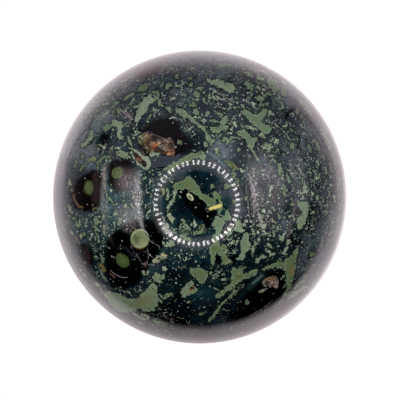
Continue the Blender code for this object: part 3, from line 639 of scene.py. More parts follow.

# How the ground changes from place to place: how light it is, how thick its grains lie, how pale they are,
# how teal it is, and the reach and place of each soft patch. How light it is holds painted sheen as well as
# the ground's own tone: where reflections lie, as in the grey pool and over the upper part, the ground is
# painted lighter.
REGIONS = {
    "far_rim": (1.8, 0.4, 0.3, 0.1, 22, (205, 60)),
    "far_left": (1.6, 0.6, 0.5, 0.1, 22, (125, 90)),
    "left_shore": (2.5, 0.8, 0.7, 0.35, 18, (92, 120)),
    "left_bay": (2.2, 0.5, 0.5, 0.35, 14, (82, 142)),
    "left_core": (0, 1, 0.6, 0.5, 7, (104, 140)),
    "left_sea": (1.6, 0.85, 0.9, 0.8, 9, (113, 212)),
    "left_inlet": (0.95, 0.85, 0.6, 0.4, 16, (112, 138)),
    "upper_left": (0.95, 0.85, 0.6, 0.2, 20, (148, 103)),
    "upper_middle": (1.1, 0.85, 0.7, 0.25, 20, (195, 90)),
    "upper_cloud": (1.5, 0.5, 0.6, 0.6, 9, (185, 98)),
    "under_band": (0.85, 0.8, 0.6, 0.3, 9, (182, 108)),
    "upper_right": (1.05, 1, 0.8, 0.15, 24, (250, 103)),
    "top_right": (1.2, 0.9, 0.8, 0.15, 12, (240, 84)),
    "right_brow": (1.05, 0.7, 0.8, 0.1, 22, (285, 115)),
    "right_cheek": (1.5, 0.65, 0.8, 0.15, 20, (302, 140)),
    "upper_inner": (1, 1, 0.8, 0.4, 18, (222, 122)),
    "grey_pool": (2, 0.35, 0.9, 0.4, 12, (221, 152)),
    "grey_pool_right": (0.75, 0.6, 0.9, 0.3, 10, (242, 158)),
    "grey_pool_low": (1.35, 0.35, 0.9, 0.4, 14, (236, 182)),
    "right_of_vug": (0.5, 0.6, 0.6, 0.5, 8, (200, 145)),
    "dark_cheek": (0.1, 0.6, 0.4, 0.1, 7, (294, 242)),
    "calm_top": (0.7, 0.55, 0.6, 0.3, 7, (210, 102)),
    "brow_low": (0.6, 0.8, 0.8, 0.3, 7, (281, 131)),
    "brow_top": (2.4, 0.5, 0.6, 0.1, 9, (283, 100)),
    "under_cracks": (1.1, 0.6, 0.4, 0.6, 7, (155, 271)),
    "left_of_vug": (0.3, 0.6, 0.6, 0.5, 7, (140, 130)),
    "pool_head": (1.6, 0.4, 0.6, 0.2, 8, (262, 170)),
    "pool_west": (1.6, 0.4, 0.6, 0.2, 6, (240, 212)),
    "under_vug": (1.05, 0.8, 0.8, 0.8, 13, (158, 174)),
    "left_of_ring": (0.75, 0.6, 0.9, 0.9, 13, (146, 196)),
    "middle_left": (1.45, 0.65, 0.9, 0.8, 14, (120, 200)),
    "left_edge": (1.3, 0.2, 0.3, 0.1, 14, (64, 180)),
    "left_low": (1.4, 0.85, 0.6, 0.6, 14, (86, 226)),
    "low_left_edge": (1.3, 0.5, 0.5, 0.2, 14, (70, 240)),
    "low_left": (0.9, 1, 0.6, 0.7, 12, (100, 230)),
    "left_foot": (0.55, 0.8, 0.3, 0.5, 12, (97, 256)),
    "ring_above": (0.4, 0.3, 0.4, 1, 12, (204, 172)),
    "ring_top_left": (1.2, 0.4, 0.6, 0.2, 10, (177, 168)),
    "ring_inside": (0.35, 0.15, 0.5, 1, 12, (184, 206)),
    "ring_inside_top": (0.35, 0.15, 0.5, 1, 8, (202, 186)),
    "ring_foot": (0.75, 0.9, 0.9, 1, 12, (180, 232)),
    "ring_right": (0.7, 0.8, 0.7, 0.8, 12, (224, 214)),
    "right_pool": (0.75, 0.45, 0.8, 0.1, 18, (262, 190)),
    "right_flank": (1.05, 0.95, 0.7, 0.1, 18, (300, 180)),
    "right_edge": (1.2, 0.8, 0.6, 0.05, 16, (328, 180)),
    "right_low": (0.8, 1, 0.8, 0.3, 14, (266, 226)),
    "right_low_dark": (0.35, 0.7, 0.6, 0.4, 12, (276, 243)),
    "right_shelf": (1.8, 0.8, 0.7, 0.2, 9, (281, 227)),
    "right_hollow": (0.2, 0.9, 0.6, 0.1, 12, (308, 222)),
    "right_bay": (1.7, 0.7, 0.4, 0.1, 12, (322, 226)),
    "right_foot": (1.3, 0.6, 0.4, 0, 14, (314, 256)),
    "right_sill": (1.3, 0.7, 0.4, 0, 9, (311, 241)),
    "below_ring": (0.85, 0.7, 0.6, 1, 13, (184, 252)),
    "below_ring_right": (0.8, 0.5, 0.7, 0.7, 10, (204, 250)),
    "bank": (0.45, 0.9, 0.6, 0.7, 12, (236, 240)),
    "bank_low": (0.3, 0.4, 0.3, 0.8, 12, (246, 262)),
    "left_of_fork": (0.3, 0.8, 0.4, 0.8, 12, (216, 272)),
    "low_middle": (0.22, 0.45, 0.4, 0.9, 16, (190, 272)),
    "low_middle_foot": (0.9, 0.4, 0.5, 1, 10, (200, 295)),
    "low_right": (0.1, 0.35, 0.1, 0, 18, (260, 296)),
    "low_left_mid": (0.35, 0.45, 0.4, 0.7, 10, (160, 284)),
    "low_left_dark": (0.6, 0.9, 0.3, 0.5, 10, (136, 292)),
    "low_rim": (0.1, 0.35, 0.4, 0.6, 16, (190, 310)),
    "low_rim_left": (0.15, 0.6, 0.3, 0.2, 12, (150, 316)),
    "low_shore": (0.9, 0.3, 0.3, 0.1, 9, (196, 330)),
    "low_shore_right": (0.9, 0.3, 0.3, 0.1, 9, (224, 326)),
    "low_rim_right": (0.15, 0.4, 0.1, 0.4, 12, (228, 306)),
}

# How far from a mark, in picture points, its measures still fall.
FAR = 12.0

# Shares of the way into an orb over which its edge turns into its body, and its body into its heart.
EYE_BODY = (0.0, 0.35)
EYE_HEART = (0.45, 1.0)

# The blur of a dab's edge, in picture points, and what each point of width beyond a wide dab's adds.
DAB_BLUR = 0.45
WIDE_DAB = 4.0
WIDE_DAB_BLUR = 0.8

# The width of a vug's wall in picture points. Then the crystals on its floor: their height and the
# depth where they stand full, in metres, and their grain to the metre.
VUG_WALL = 1.6
CRYSTAL_STAND = 0.00022
CRYSTALS_FULL = 0.0003
CRYSTAL_GRAIN = 1400.0

# Soft patches weigh as a bell with a faint tail, so that a place far from all of them still takes
# after the nearest. Next to nothing keeps the sums above 0.
PAINT_TAIL = 1e-6
PAINT_START = 1e-12
REGION_TAIL = 1e-4
TINY = 1e-9

# The sides and the underside, which the picture doesn't show, wear copies of the marks: the turns
# about X and Z, Z first, that bring a copy to the top, its size, and how far it reaches from its
# middle. It fades over the last COPY_FADE of that. Angles are in degrees.
COPIES = {
    "underside": (180, 75, 1.0, 62),
    "front_side": (-105, 15, 1.15, 46),
    "left_side": (-100, 140, 0.9, 46),
    "right_side": (-108, -112, 1.05, 46),
}
COPY_FADE = 10.0

# How far up the surface faces, from 0 at the widest circle to 1 on top: where the picture's marks
# end and where they begin to fade, where its ground ends, and above which all is the picture's.
# Copies of the marks fade over COPY_OVERLAP below that.
MARKS_END = 0.02
MARKS_FADE = 0.12
GROUND_END = 0.05
PICTURED = 0.30
COPY_OVERLAP = 0.15

# The ground of the hidden sides. For each measure, its middle, its swing, the grain of its noise,
# and where in the noise it is taken.
HIDDEN_GROUND = {
    "light": (0.75, 0.8, 2.2, Vector((3, 0, 0))),
    "grain": (0.75, 0.7, 2.8, Vector((0, 7, 0))),
    "pale": (0.5, 0.8, 2.0, Vector((0, 0, 5))),
    "teal": (0.5, 1.2, 1.8, Vector((9, 0, 0))),
}


def picture_places(points):
    """Where the camera sees each point, in picture points."""
    depth = CAMERA.z - points[:, 2]
    across = PICTURE / 2 + POINTS_PER_TANGENT * (points[:, 0] - CAMERA.x) / depth
    down = PICTURE / 2 - POINTS_PER_TANGENT * (points[:, 1] - CAMERA.y) / depth
    return np.column_stack((across, down))


def distance_to_run(places, run, closed):
    """Distance from each place to a run of straight pieces."""
    starts = np.array(run, float)
    ends = np.roll(starts, -1, axis=0)
    if not closed:
        starts, ends = starts[:-1], ends[:-1]
    nearest = np.full(len(places), np.inf)
    for start, end in zip(starts, ends):
        along = end - start
        share = np.clip((places - start) @ along / (along @ along), 0, 1)
        gap = places - start - share[:, None] * along
        nearest = np.minimum(nearest, np.hypot(gap[:, 0], gap[:, 1]))
    return nearest


def inside_outline(places, outline):
    corners = np.array(outline, float)
    inside = np.zeros(len(places), bool)
    for (x0, y0), (x1, y1) in zip(corners, np.roll(corners, -1, axis=0)):
        if y0 == y1:
            continue
        crosses = (places[:, 1] < y0) != (places[:, 1] < y1)
        reach = x0 + (places[:, 1] - y0) * (x1 - x0) / (y1 - y0)
        inside ^= crosses & (places[:, 0] < reach)
    return inside


def near(places, run):
    """The places within FAR of the box around a run."""
    corners = np.array(run, float)
    low, high = corners.min(axis=0) - FAR, corners.max(axis=0) + FAR
    return np.flatnonzero(((places > low) & (places < high)).all(axis=1))


def depth_inside(places, outline):
    """How far inside an outline each place lies: positive inside, negative outside."""
    found = np.full(len(places), -FAR)
    chosen = near(places, outline)
    gap = distance_to_run(places[chosen], outline, closed=True)
    found[chosen] = np.where(inside_outline(places[chosen], outline), gap, -gap)
    return np.maximum(found, -FAR)


def depth_in_stroke(places, width, run):
    found = np.full(len(places), -FAR)
    chosen = near(places, run)
    found[chosen] = width / 2 - distance_to_run(places[chosen], run, closed=False)
    return np.maximum(found, -FAR)


def smooth(value, low, high):
    """Rises smoothly from 0 at low to 1 at high."""
    share = np.clip((value - low) / (high - low), 0, 1)
    return share * share * (3 - 2 * share)


def nearest_mark(places, marks, start):
    """Depth inside the mark that each place is deepest in, and that mark's own values."""
    depth = np.full(len(places), -FAR)
    values = np.tile(start, (len(places), 1))
    for found, own in marks:
        closer = found > depth
        depth[closer] = found[closer]
        values[closer] = own
    return depth, *values.T


def green_measures(places):
    """Depth inside the green marks, and the nearest one's tone and wear."""
    marks = [(depth_inside(places, o), (t, w)) for t, w, *outlines in PATCHES.values() for o in outlines]
    for tone, wear, width, *runs in STROKES.values():
        marks += [(depth_in_stroke(places, width, run), (tone, wear)) for run in runs]
    return nearest_mark(places, marks, (SAGE, WORN))


def eye_measures(places):
    """Crisp depth inside the orbs, and the paint that each place would have in one."""
    depth = np.full(len(places), -FAR)
    paint = np.zeros((len(places), 4))
    for middle, half_along, half_beside, turn, crisp, *paints in EYES.values():
        angle = np.radians(turn)
        across, down = (places - middle).T
        along = (across * np.cos(angle) + down * np.sin(angle)) / half_along
        beside = (down * np.cos(angle) - across * np.sin(angle)) / half_beside
        inward = 1 - np.hypot(along, beside)
        found = inward * (half_along + half_beside) / 2 * crisp
        closer = found > np.minimum(depth, 0)
        edge, body, heart = (np.array(p) for p in paints)
        towards_body = smooth(inward, *EYE_BODY)[:, None]
        towards_heart = smooth(inward, *EYE_HEART)[:, None]
        colour = edge + (body - edge) * towards_body + (heart - body) * towards_heart
        paint[closer] = colour[closer]
        depth = np.maximum(depth, found)
    return depth, paint


def dab_measures(places):
    """Depth inside the dabs, and the paint of the last dab laid, with its strength as alpha."""
    depth = np.full(len(places), -FAR)
    strength = np.zeros(len(places))
    paint = np.zeros((len(places), 4))
    for colour, strongest, width, *runs in DABS.values():
        soft = DAB_BLUR + WIDE_DAB_BLUR * max(0.0, width - WIDE_DAB)
        for run in runs:
            found = depth_in_stroke(places, width, run)
            paint[found > np.minimum(depth, 0)] = colour
            strength = np.maximum(strength * (found < 0), strongest * smooth(found, -soft, soft))
            depth = np.maximum(depth, found)
    paint[:, 3] = strength
    return depth, paint


def ground_measures(places):
    """Depth inside the dark grounds, and how brown the nearest one is."""
    marks = [(depth_inside(places, outline), (brown,)) for brown, outline in GROUNDS.values()]
    return nearest_mark(places, marks, (0.0,))


def vug_measures(places):
    """Depth inside the vugs, how far their floor is sunk, and its paint."""
    depth = np.full(len(places), -FAR)
    sink = np.zeros(len(places))
    for deepest, outline in VUGS.values():
        found = depth_inside(places, outline)
        depth = np.maximum(depth, found)
        sink = np.maximum(sink, deepest * np.clip(found / VUG_WALL, 0, 1) ** 0.5)
    paint = np.zeros((len(places), 4))
    total = np.full(len(places), PAINT_START)
    for colour, reach, place in VUG_PAINTS.values():
        gap = np.hypot(*(places - place).T) / reach
        weight = (np.exp(-(gap**2)) + PAINT_TAIL / (1 + gap**4)) / reach**2
        paint += weight[:, None] * np.array(colour)
        total += weight
    return depth, sink, paint / total[:, None]


def line_measures(places):
    """Gap to the nearest thin line, which side of it each place lies on, and its paint.

    The side is in half widths and changes sign across the line, so the line stays thin between
    points that are farther apart than it is wide.
    """
    nearest = np.full(len(places), FAR)
    side = np.zeros(len(places))
    paint = np.zeros((len(places), 4))
    for colour, strength, half_width, *runs in LINES.values():
        for start, end in [(np.array(a), np.array(b)) for run in runs for a, b in zip(run, run[1:])]:
            chosen = near(places, (start, end))
            along = end - start
            offset = places[chosen] - start
            share = np.clip(offset @ along / (along @ along), 0, 1)
            gap = np.hypot(*(offset - share[:, None] * along).T)
            closer = gap < nearest[chosen]
            found = chosen[closer]
            nearest[found] = gap[closer]
            turn = along[0] * offset[closer, 1] - along[1] * offset[closer, 0]
            side[found] = np.where(turn < 0, -1, 1) * gap[closer] / half_width
            paint[found] = colour[:3] + (strength,)
    return nearest, side, paint


def pitted_measure(places):
    pitted = np.zeros(len(places))
    for reach, strength, place in PITTED.values():
        gap = np.hypot(*(places - place).T) / reach
        pitted = np.maximum(pitted, strength * np.exp(-(gap**2)))
    return pitted


def region_measures(places):
    """How light the ground is, how thick its grains lie, how pale they are, and how teal it is."""
    total = np.full(len(places), TINY)
    mixed = np.zeros((len(places), 4))
    for *levels, reach, place in REGIONS.values():
        gap = np.hypot(*(places - place).T) / reach
        weight = np.exp(-(gap**2)) + REGION_TAIL / (1 + gap**2)
        mixed += weight[:, None] * levels
        total += weight
    return (mixed / total[:, None]).T


def new_ball():
    """A cube whose faces are cut into squares."""
    bpy.ops.object.select_all(action="DESELECT")
    bpy.ops.mesh.primitive_cube_add(size=2 * RADIUS, location=CENTRE)
    ball = bpy.context.object
    ball.name = "polished_ball"
    bpy.ops.object.mode_set(mode="EDIT")
    bpy.ops.mesh.select_all(action="SELECT")
    for cuts in FACE_CUTS:
        bpy.ops.mesh.subdivide(number_cuts=cuts)
    bpy.ops.object.mode_set(mode="OBJECT")
    return ball


def points_of(ball):
    flat = np.empty(len(ball.data.vertices) * 3)
    ball.data.vertices.foreach_get("co", flat)
    return flat.reshape(-1, 3)


def put_points(ball, points):
    ball.data.vertices.foreach_set("co", points.ravel())
    ball.data.update()


def rounded(points):
    """Cube points to unit directions, with squares of even size, closer together near the top."""
    even = np.tan(points / RADIUS * np.pi / 4)
    outward = even / np.linalg.norm(even, axis=1)[:, None]
    flat_map = CROWDING * outward[:, :2] / np.maximum(1 + outward[:, 2:], TINY)
    reach = (flat_map**2).sum(axis=1)[:, None]
    crowded = np.hstack((2 * flat_map, 1 - reach)) / (1 + reach)
    crowded[outward[:, 2] < TINY - 1] = (0, 0, -1)
    return crowded


def give_measure(ball, name, values):
    measure = ball.data.attributes.new(name, "FLOAT", "POINT")
    measure.data.foreach_set("value", np.asarray(values, np.float32))


def give_paint(ball, name, colours):
    paint = ball.data.attributes.new(name, "FLOAT_COLOR", "POINT")
    paint.data.foreach_set("color", np.asarray(colours, np.float32).ravel())


def wandering(outward, grain, shift):
    """A slow random measure over the ball, about 0, for the sides that the picture doesn't show."""
    return np.array([noise.noise(Vector(point) * grain + shift) for point in outward])


def copies_of_marks(outward):
    """For each copy, the points that it covers, their picture places, and how near its border they are."""
    for tilt, turn, size, reach in COPIES.values():
        back = Matrix.Rotation(np.radians(tilt), 3, "X") @ Matrix.Rotation(np.radians(turn), 3, "Z")
        tops = outward @ np.array(back).T
        angle = np.degrees(np.arccos(np.clip(tops[:, 2], -1, 1)))
        border = smooth(angle, reach - COPY_FADE, reach)
        border = np.maximum(border, smooth(outward[:, 2], PICTURED - COPY_OVERLAP, PICTURED))
        chosen = np.flatnonzero(border < 1)
        places = picture_places(np.array(CENTRE) + RADIUS * tops[chosen])
        yield chosen, (places - BALL_PLACE) / size + BALL_PLACE, border[chosen]


def stone_measures(outward):
    """Every measure and paint of the marks at each point, the pictured side first, then the copies."""
    count = len(outward)
    leaders = {name: np.full(count, -FAR) for name in ("green", "eye", "dab", "ground", "line")}
    floats = {name: np.zeros(count) for name in ("tone", "wear", "brown", "side")}
    paints = {name: np.zeros((count, 4)) for name in ("eye_paint", "dab_paint", "line_paint")}

    def lay(chosen, places, border):
        green, tone, wear = green_measures(places)
        eye, eye_paint = eye_measures(places)
        dab, dab_paint = dab_measures(places)
        dab_paint[:, 3] *= 1 - border
        ground, brown = ground_measures(places)
        gap, side, line_paint = line_measures(places)
        found = {
            "green": (green, {"tone": tone, "wear": wear}),
            "eye": (eye, {"eye_paint": eye_paint}),
            "dab": (dab, {"dab_paint": dab_paint}),
            "ground": (ground, {"brown": brown}),
            "line": (-gap, {"side": side, "line_paint": line_paint}),
        }
        for name, (depth, followers) in found.items():
            depth = depth - FAR * border
            closer = depth > leaders[name][chosen]
            where = chosen[closer]
            leaders[name][where] = depth[closer]
            for follower, values in followers.items():
                (paints if values.ndim == 2 else floats)[follower][where] = values[closer]

    pictured = np.flatnonzero(outward[:, 2] > MARKS_END)
    places = picture_places(np.array(CENTRE) + RADIUS * outward[pictured])
    lay(pictured, places, smooth(outward[pictured, 2], MARKS_FADE, MARKS_END))
    for chosen, copy_places, border in copies_of_marks(outward):
        lay(chosen, copy_places, border)
    return pictured, places, {**leaders, **floats}, paints


def ground_levels(outward, pictured, places):
    """The measures of the ground: wandering on the hidden sides, and by region where it is pictured."""
    share = smooth(outward[pictured, 2], GROUND_END, PICTURED)
    levels = {}
    for (name, (middle, swing, grain, shift)), region in zip(HIDDEN_GROUND.items(), region_measures(places)):
        level = middle + swing * wandering(outward, grain, shift)
        level[pictured] += (region - level[pictured]) * share
        levels[name] = level
    return levels


def roughen(sink, outward):
    """Crystals on the vugs' floors."""
    for point in np.flatnonzero(sink > 0):
        rough = noise.noise(Vector(outward[point]) * RADIUS * CRYSTAL_GRAIN)
        stand = CRYSTAL_STAND * rough * min(1.0, sink[point] / CRYSTALS_FULL)
        sink[point] = max(0.0, sink[point] + stand)


def make_ball():
    ball = new_ball()
    outward = rounded(points_of(ball))
    pictured, places, floats, paints = stone_measures(outward)

    count = len(outward)
    vug, clearing = np.full(count, -FAR), np.full(count, -FAR)
    sink, pitted = np.zeros(count), np.zeros(count)
    vug_paint = np.tile(UMBER, (count, 1))
    vug[pictured], sink[pictured], vug_paint[pictured] = vug_measures(places)
    clearing[pictured] = depth_inside(places, CLEARING)
    pitted[pictured] = pitted_measure(places)

    roughen(sink, outward)
    points = np.array(CENTRE) + outward * (RADIUS - sink)[:, None]
    points[:, 2] = np.maximum(points[:, 2], 0.0)
    # The ball's object goes to the world origin, with its place in its mesh.
    ball.location = (0, 0, 0)
    put_points(ball, points)
    ball.data.shade_smooth()

    floats.update(vug=vug, clearing=clearing, pitted=pitted)
    floats.update(ground_levels(outward, pictured, places))
    paints.update(vug_paint=vug_paint)
    for name, values in floats.items():
        give_measure(ball, name, values)
    for name, colours in paints.items():
        give_paint(ball, name, colours)
    return ball


# The noises of the stone: cells to the millimetre, detail, roughness and warp.
NOISES = {
    "fine": (3.0, 1, 0.6, 0),
    "medium": (0.9, 4, 0.6, 0),
    "cloud": (0.16, 3, 0.55, 0),
    "mottled_cloud": (0.8, 5, 0.65, 0),
    "teal_cloud": (0.3, 4, 0.6, 0.5),
    "navy_cloud": (0.5, 4, 0.6, 0.8),
    "crumb": (0.72, 2.4, 0.78, 0.7),
    "crumb_hollow": (0.45, 2, 0.5, 0),
    "chip": (1.7, 1, 0.7, 1),
    "chip_place": (0.5, 1, 0.5, 0),
    "speck_push": (3.0, 2, 0.5, 0),
    "curl": (0.75, 2, 0.6, 0.8),
    "curl_place": (0.9, 2, 0.5, 0),
    "grain_mottle": (1.5, 2, 0.7, 0),
    "belt": (0.1, 3, 0.5, 0),
    "eaten": (2.0, 2, 0.75, 0),
    "pore": (2.4, 1, 0.7, 0.5),
    "line_gap": (1.6, 2, 0.5, 0),
    "dust_and_sparkle": (3.3, 1, 0.5, 0.4),
    "crystal_push": (2.5, 2, 0.5, 0),
    "crystal": (2.4, 4, 0.7, 0),
    "polish": (4.0, 3, 0.6, 0),
}

# The middle of a noise, millimetres to the metre, and how a dot's edge sets in, in shares of a cell.
NOISE_MIDDLE = 0.5
MILLIMETRES = 1000.0
DOT_EDGE = (-0.02, 0.05)


class Tree:
    """Short words for building the nodes of a material or of the world."""

    def __init__(self, tree):
        self.tree = tree
        self.place = None

    def node(self, kind, **settings):
        node = self.tree.nodes.new("ShaderNode" + kind)
        for name, value in settings.items():
            setattr(node, name, value)
        return node

    def feed(self, socket, value):
        if isinstance(value, bpy.types.NodeSocket):
            self.tree.links.new(value, socket)
        else:
            socket.default_value = value

    def read_millimetres(self):
        """The point being shaded, in the object's own coordinates."""
        millimetres = self.node("VectorMath", operation="SCALE")
        self.feed(millimetres.inputs[0], self.node("TexCoord").outputs["Object"])
        millimetres.inputs["Scale"].default_value = MILLIMETRES
        self.place = millimetres.outputs[0]

    def measure(self, name):
        return self.node("Attribute", attribute_name=name).outputs["Fac"]

    def paint(self, name):
        """A paint that the ball's points carry, and its alpha."""
        node = self.node("Attribute", attribute_name=name)
        return node.outputs["Color"], node.outputs["Alpha"]

    def parts(self, vector):
        """X, Y and Z of a vector."""
        node = self.node("SeparateXYZ")
        self.feed(node.inputs[0], vector)
        return node.outputs

    def gap_from(self, place):
        """Distance of the shaded point from a place, in millimetres."""
        node = self.node("VectorMath", operation="DISTANCE")
        self.feed(node.inputs[0], self.place)
        node.inputs[1].default_value = place
        return node.outputs["Value"]

    def along(self, vector, axis):
        """How far a vector reaches along an axis."""
        node = self.node("VectorMath", operation="DOT_PRODUCT")
        self.feed(node.inputs[0], vector)
        node.inputs[1].default_value = axis
        return node.outputs["Value"]

    def math(self, operation, first, second=0.0):
        node = self.node("Math", operation=operation)
        self.feed(node.inputs[0], first)
        self.feed(node.inputs[1], second)
        return node.outputs[0]

    def add(self, first, second, times=1.0):
        """first + second * times."""
        node = self.node("Math", operation="MULTIPLY_ADD")
        self.feed(node.inputs[0], second)
        self.feed(node.inputs[1], times)
        self.feed(node.inputs[2], first)
        return node.outputs[0]

    def times(self, first, *others):
        for other in others:
            first = self.math("MULTIPLY", first, other)
        return first

    def most(self, first, *others):
        for other in others:
            first = self.math("MAXIMUM", first, other)
        return first

    def without(self, share):
        return self.math("SUBTRACT", 1.0, share)

    def step(self, value, low, high, top=1.0):
        """Rises smoothly from 0 at low to top at high."""
        node = self.node("MapRange", interpolation_type="SMOOTHSTEP")
        self.feed(node.inputs["Value"], value)
        self.feed(node.inputs["From Min"], low)
        self.feed(node.inputs["From Max"], high)
        self.feed(node.inputs["To Max"], top)
        return node.outputs[0]

    def fall(self, value, low, high, top=1.0):
        """Falls smoothly from top at low to 0 at high."""
        return self.math("SUBTRACT", top, self.step(value, low, high, top))

    def mix(self, share, first, second, blend="MIX"):
        node = self.node("Mix", data_type="RGBA", blend_type=blend)
        self.feed(node.inputs["Factor"], share)
        self.feed(node.inputs["A"], first)
        self.feed(node.inputs["B"], second)
        return node.outputs["Result"]

    def noise_node(self, name):
        node = self.node("TexNoise")
        self.feed(node.inputs["Vector"], self.place)
        for setting, value in zip(("Scale", "Detail", "Roughness", "Distortion"), NOISES[name]):
            node.inputs[setting].default_value = value
        return node

    def noise(self, name):
        """A noise of the stone, about 0."""
        return self.math("SUBTRACT", self.noise_node(name).outputs["Fac"], NOISE_MIDDLE)

    def pushed(self, name, reach):
        """The shaded point, pushed about by a noise, so that round cells turn ragged."""
        push = self.node("VectorMath", operation="MULTIPLY_ADD")
        self.feed(push.inputs[0], self.noise_node(name).outputs["Color"])
        push.inputs[1].default_value = (reach, reach, reach)
        self.feed(push.inputs[2], self.place)
        return push.outputs[0]

    def cells(self, place, scale):
        """Scattered cells: the gap from each one's middle, and its three random numbers."""
        cells = self.node("TexVoronoi")
        self.feed(cells.inputs["Vector"], place)
        cells.inputs["Scale"].default_value = scale
        numbers = self.node("SeparateColor")
        self.feed(numbers.inputs[0], cells.outputs["Color"])
        return cells.outputs["Distance"], numbers.outputs

    def dots(self, place, scale, share, small, large):
        """Scattered dots: their mask, and a random number for each dot. Sizes are in shares of a cell."""
        gap, numbers = self.cells(place, scale)
        present = self.math("LESS_THAN", numbers[0], share)
        radius = self.add(small, numbers[1], large - small)
        inward = self.math("SUBTRACT", radius, gap)
        return self.times(self.step(inward, *DOT_EDGE), present), numbers[2]

    def ramp(self, value, stops):
        node = self.node("ValToRGB")
        elements = node.color_ramp.elements
        while len(elements) < len(stops):
            elements.new(0.5)
        for element, (position, colour) in zip(elements, stops):
            element.position = position
            element.color = colour
        self.feed(node.inputs["Fac"], value)
        return node.outputs["Color"]


# Colours of the ground, from its darkest to its lightest.
SLATE_TONES = [
    (0.0, rgb(1, 2, 4)),
    (0.17, rgb(13, 19, 25)),
    (0.32, rgb(30, 38, 47)),
    (0.52, rgb(55, 62, 72)),
    (0.7, rgb(80, 88, 98)),
    (1.0, rgb(134, 142, 152)),
]
TEAL_TONES = [
    (0.0, rgb(0, 3, 5)),
    (0.17, rgb(3, 25, 32)),
    (0.32, rgb(16, 46, 54)),
    (0.52, rgb(42, 72, 78)),
    (0.7, rgb(66, 96, 100)),
    (1.0, rgb(110, 140, 144)),
]
NAVY_CLOUD = rgb(20, 26, 36)
HALO = rgb(34, 58, 58)
CLEAR_SLATE = rgb(67, 74, 84)

# How lightness and teal swing with the clouds, where teal, navy and the halo round the marks set in,
# and how much of the last two shows. LIGHT_SPAN is the measure of the lightest ground.
CLOUD_SWING = 0.8
MOTTLED_SWING = 1.1
LIGHT_SPAN = 1.9
TEAL_SWING = 3.0
TEAL_SPAN = (0.1, 0.9)
NAVY_SPAN = (0.04, 0.16)
NAVY_SHARE = 0.7
HALO_SPAN = (-4.0, -0.2)
HALO_SHARE = 0.3


def stone_ground(stone, open_ground, dark, clear, near_mark):
    """The near black, slate and teal ground between the marks."""
    level = stone.add(stone.measure("light"), stone.noise("cloud"), CLOUD_SWING)
    level = stone.add(level, stone.noise("mottled_cloud"), MOTTLED_SWING)
    level = stone.math("DIVIDE", level, LIGHT_SPAN)
    teal = stone.add(stone.measure("teal"), stone.noise("teal_cloud"), TEAL_SWING)
    teal = stone.step(teal, *TEAL_SPAN)
    ground = stone.mix(teal, stone.ramp(level, SLATE_TONES), stone.ramp(level, TEAL_TONES))
    navy = stone.step(stone.noise("navy_cloud"), *NAVY_SPAN, NAVY_SHARE)
    ground = stone.mix(stone.times(navy, open_ground), ground, NAVY_CLOUD)
    ground = stone.mix(stone.step(near_mark, *HALO_SPAN, HALO_SHARE), ground, HALO)
    ground = stone.mix(dark, ground, stone.mix(stone.measure("brown"), INK, WINE))
    return stone.mix(clear, ground, CLEAR_SLATE)


# Loose grains. Crumbs and chips are cut from their noises at an edge that rises where grains are
# scarce, and some crumbs are hollow. Specks are ragged dots: cells to the millimetre, the share of
# cells that have one, and their smallest and largest size. Curls follow the middle of a noise.
CRUMB_SCARCITY = -0.12
CRUMB_EDGE = (0.068, 0.084)
CRUMB_HEART = (0.17, 0.20)
HOLLOW_PLACE = (-0.04, 0.04)
CHIP_SCARCITY = -0.13
CHIP_EDGE = (0.11, 0.13)
CHIP_PLACE = (-0.12, 0.04)
SPECK_PUSH = 0.4
SPECK_SCALE = 1.9
SPECK_SHARE = 0.27
SPECK_SIZES = (0.16, 0.38)
CURL_LINE = (0.010, 0.020)
CURL_PLACE = (0.02, 0.06)
CURL_THICKNESS = (0.4, 0.9)

# The grains' colours, how pale each grain is at least and by its mottle or its number, and the dark
# fringe round crumbs and chips.
CRUMB_DARK = rgb(110, 134, 106)
CRUMB_PALE = rgb(206, 230, 196)
GRAIN_DARK = rgb(144, 166, 140)
GRAIN_PALE = rgb(240, 250, 236)
MOTTLE_SPAN = (-0.14, 0.14)
CRUMB_LEAST_PALE = 0.3
CRUMB_BY_MOTTLE = 0.9
GRAIN_LEAST_PALE = 0.25
GRAIN_BY_NUMBER = 0.6
GRAIN_BY_MOTTLE = 0.6
CRUMB_FRINGE = (-0.01, 0.055)
CHIP_FRINGE = (0.03, 0.10)
GRAIN_FRINGE_SHARE = 0.65


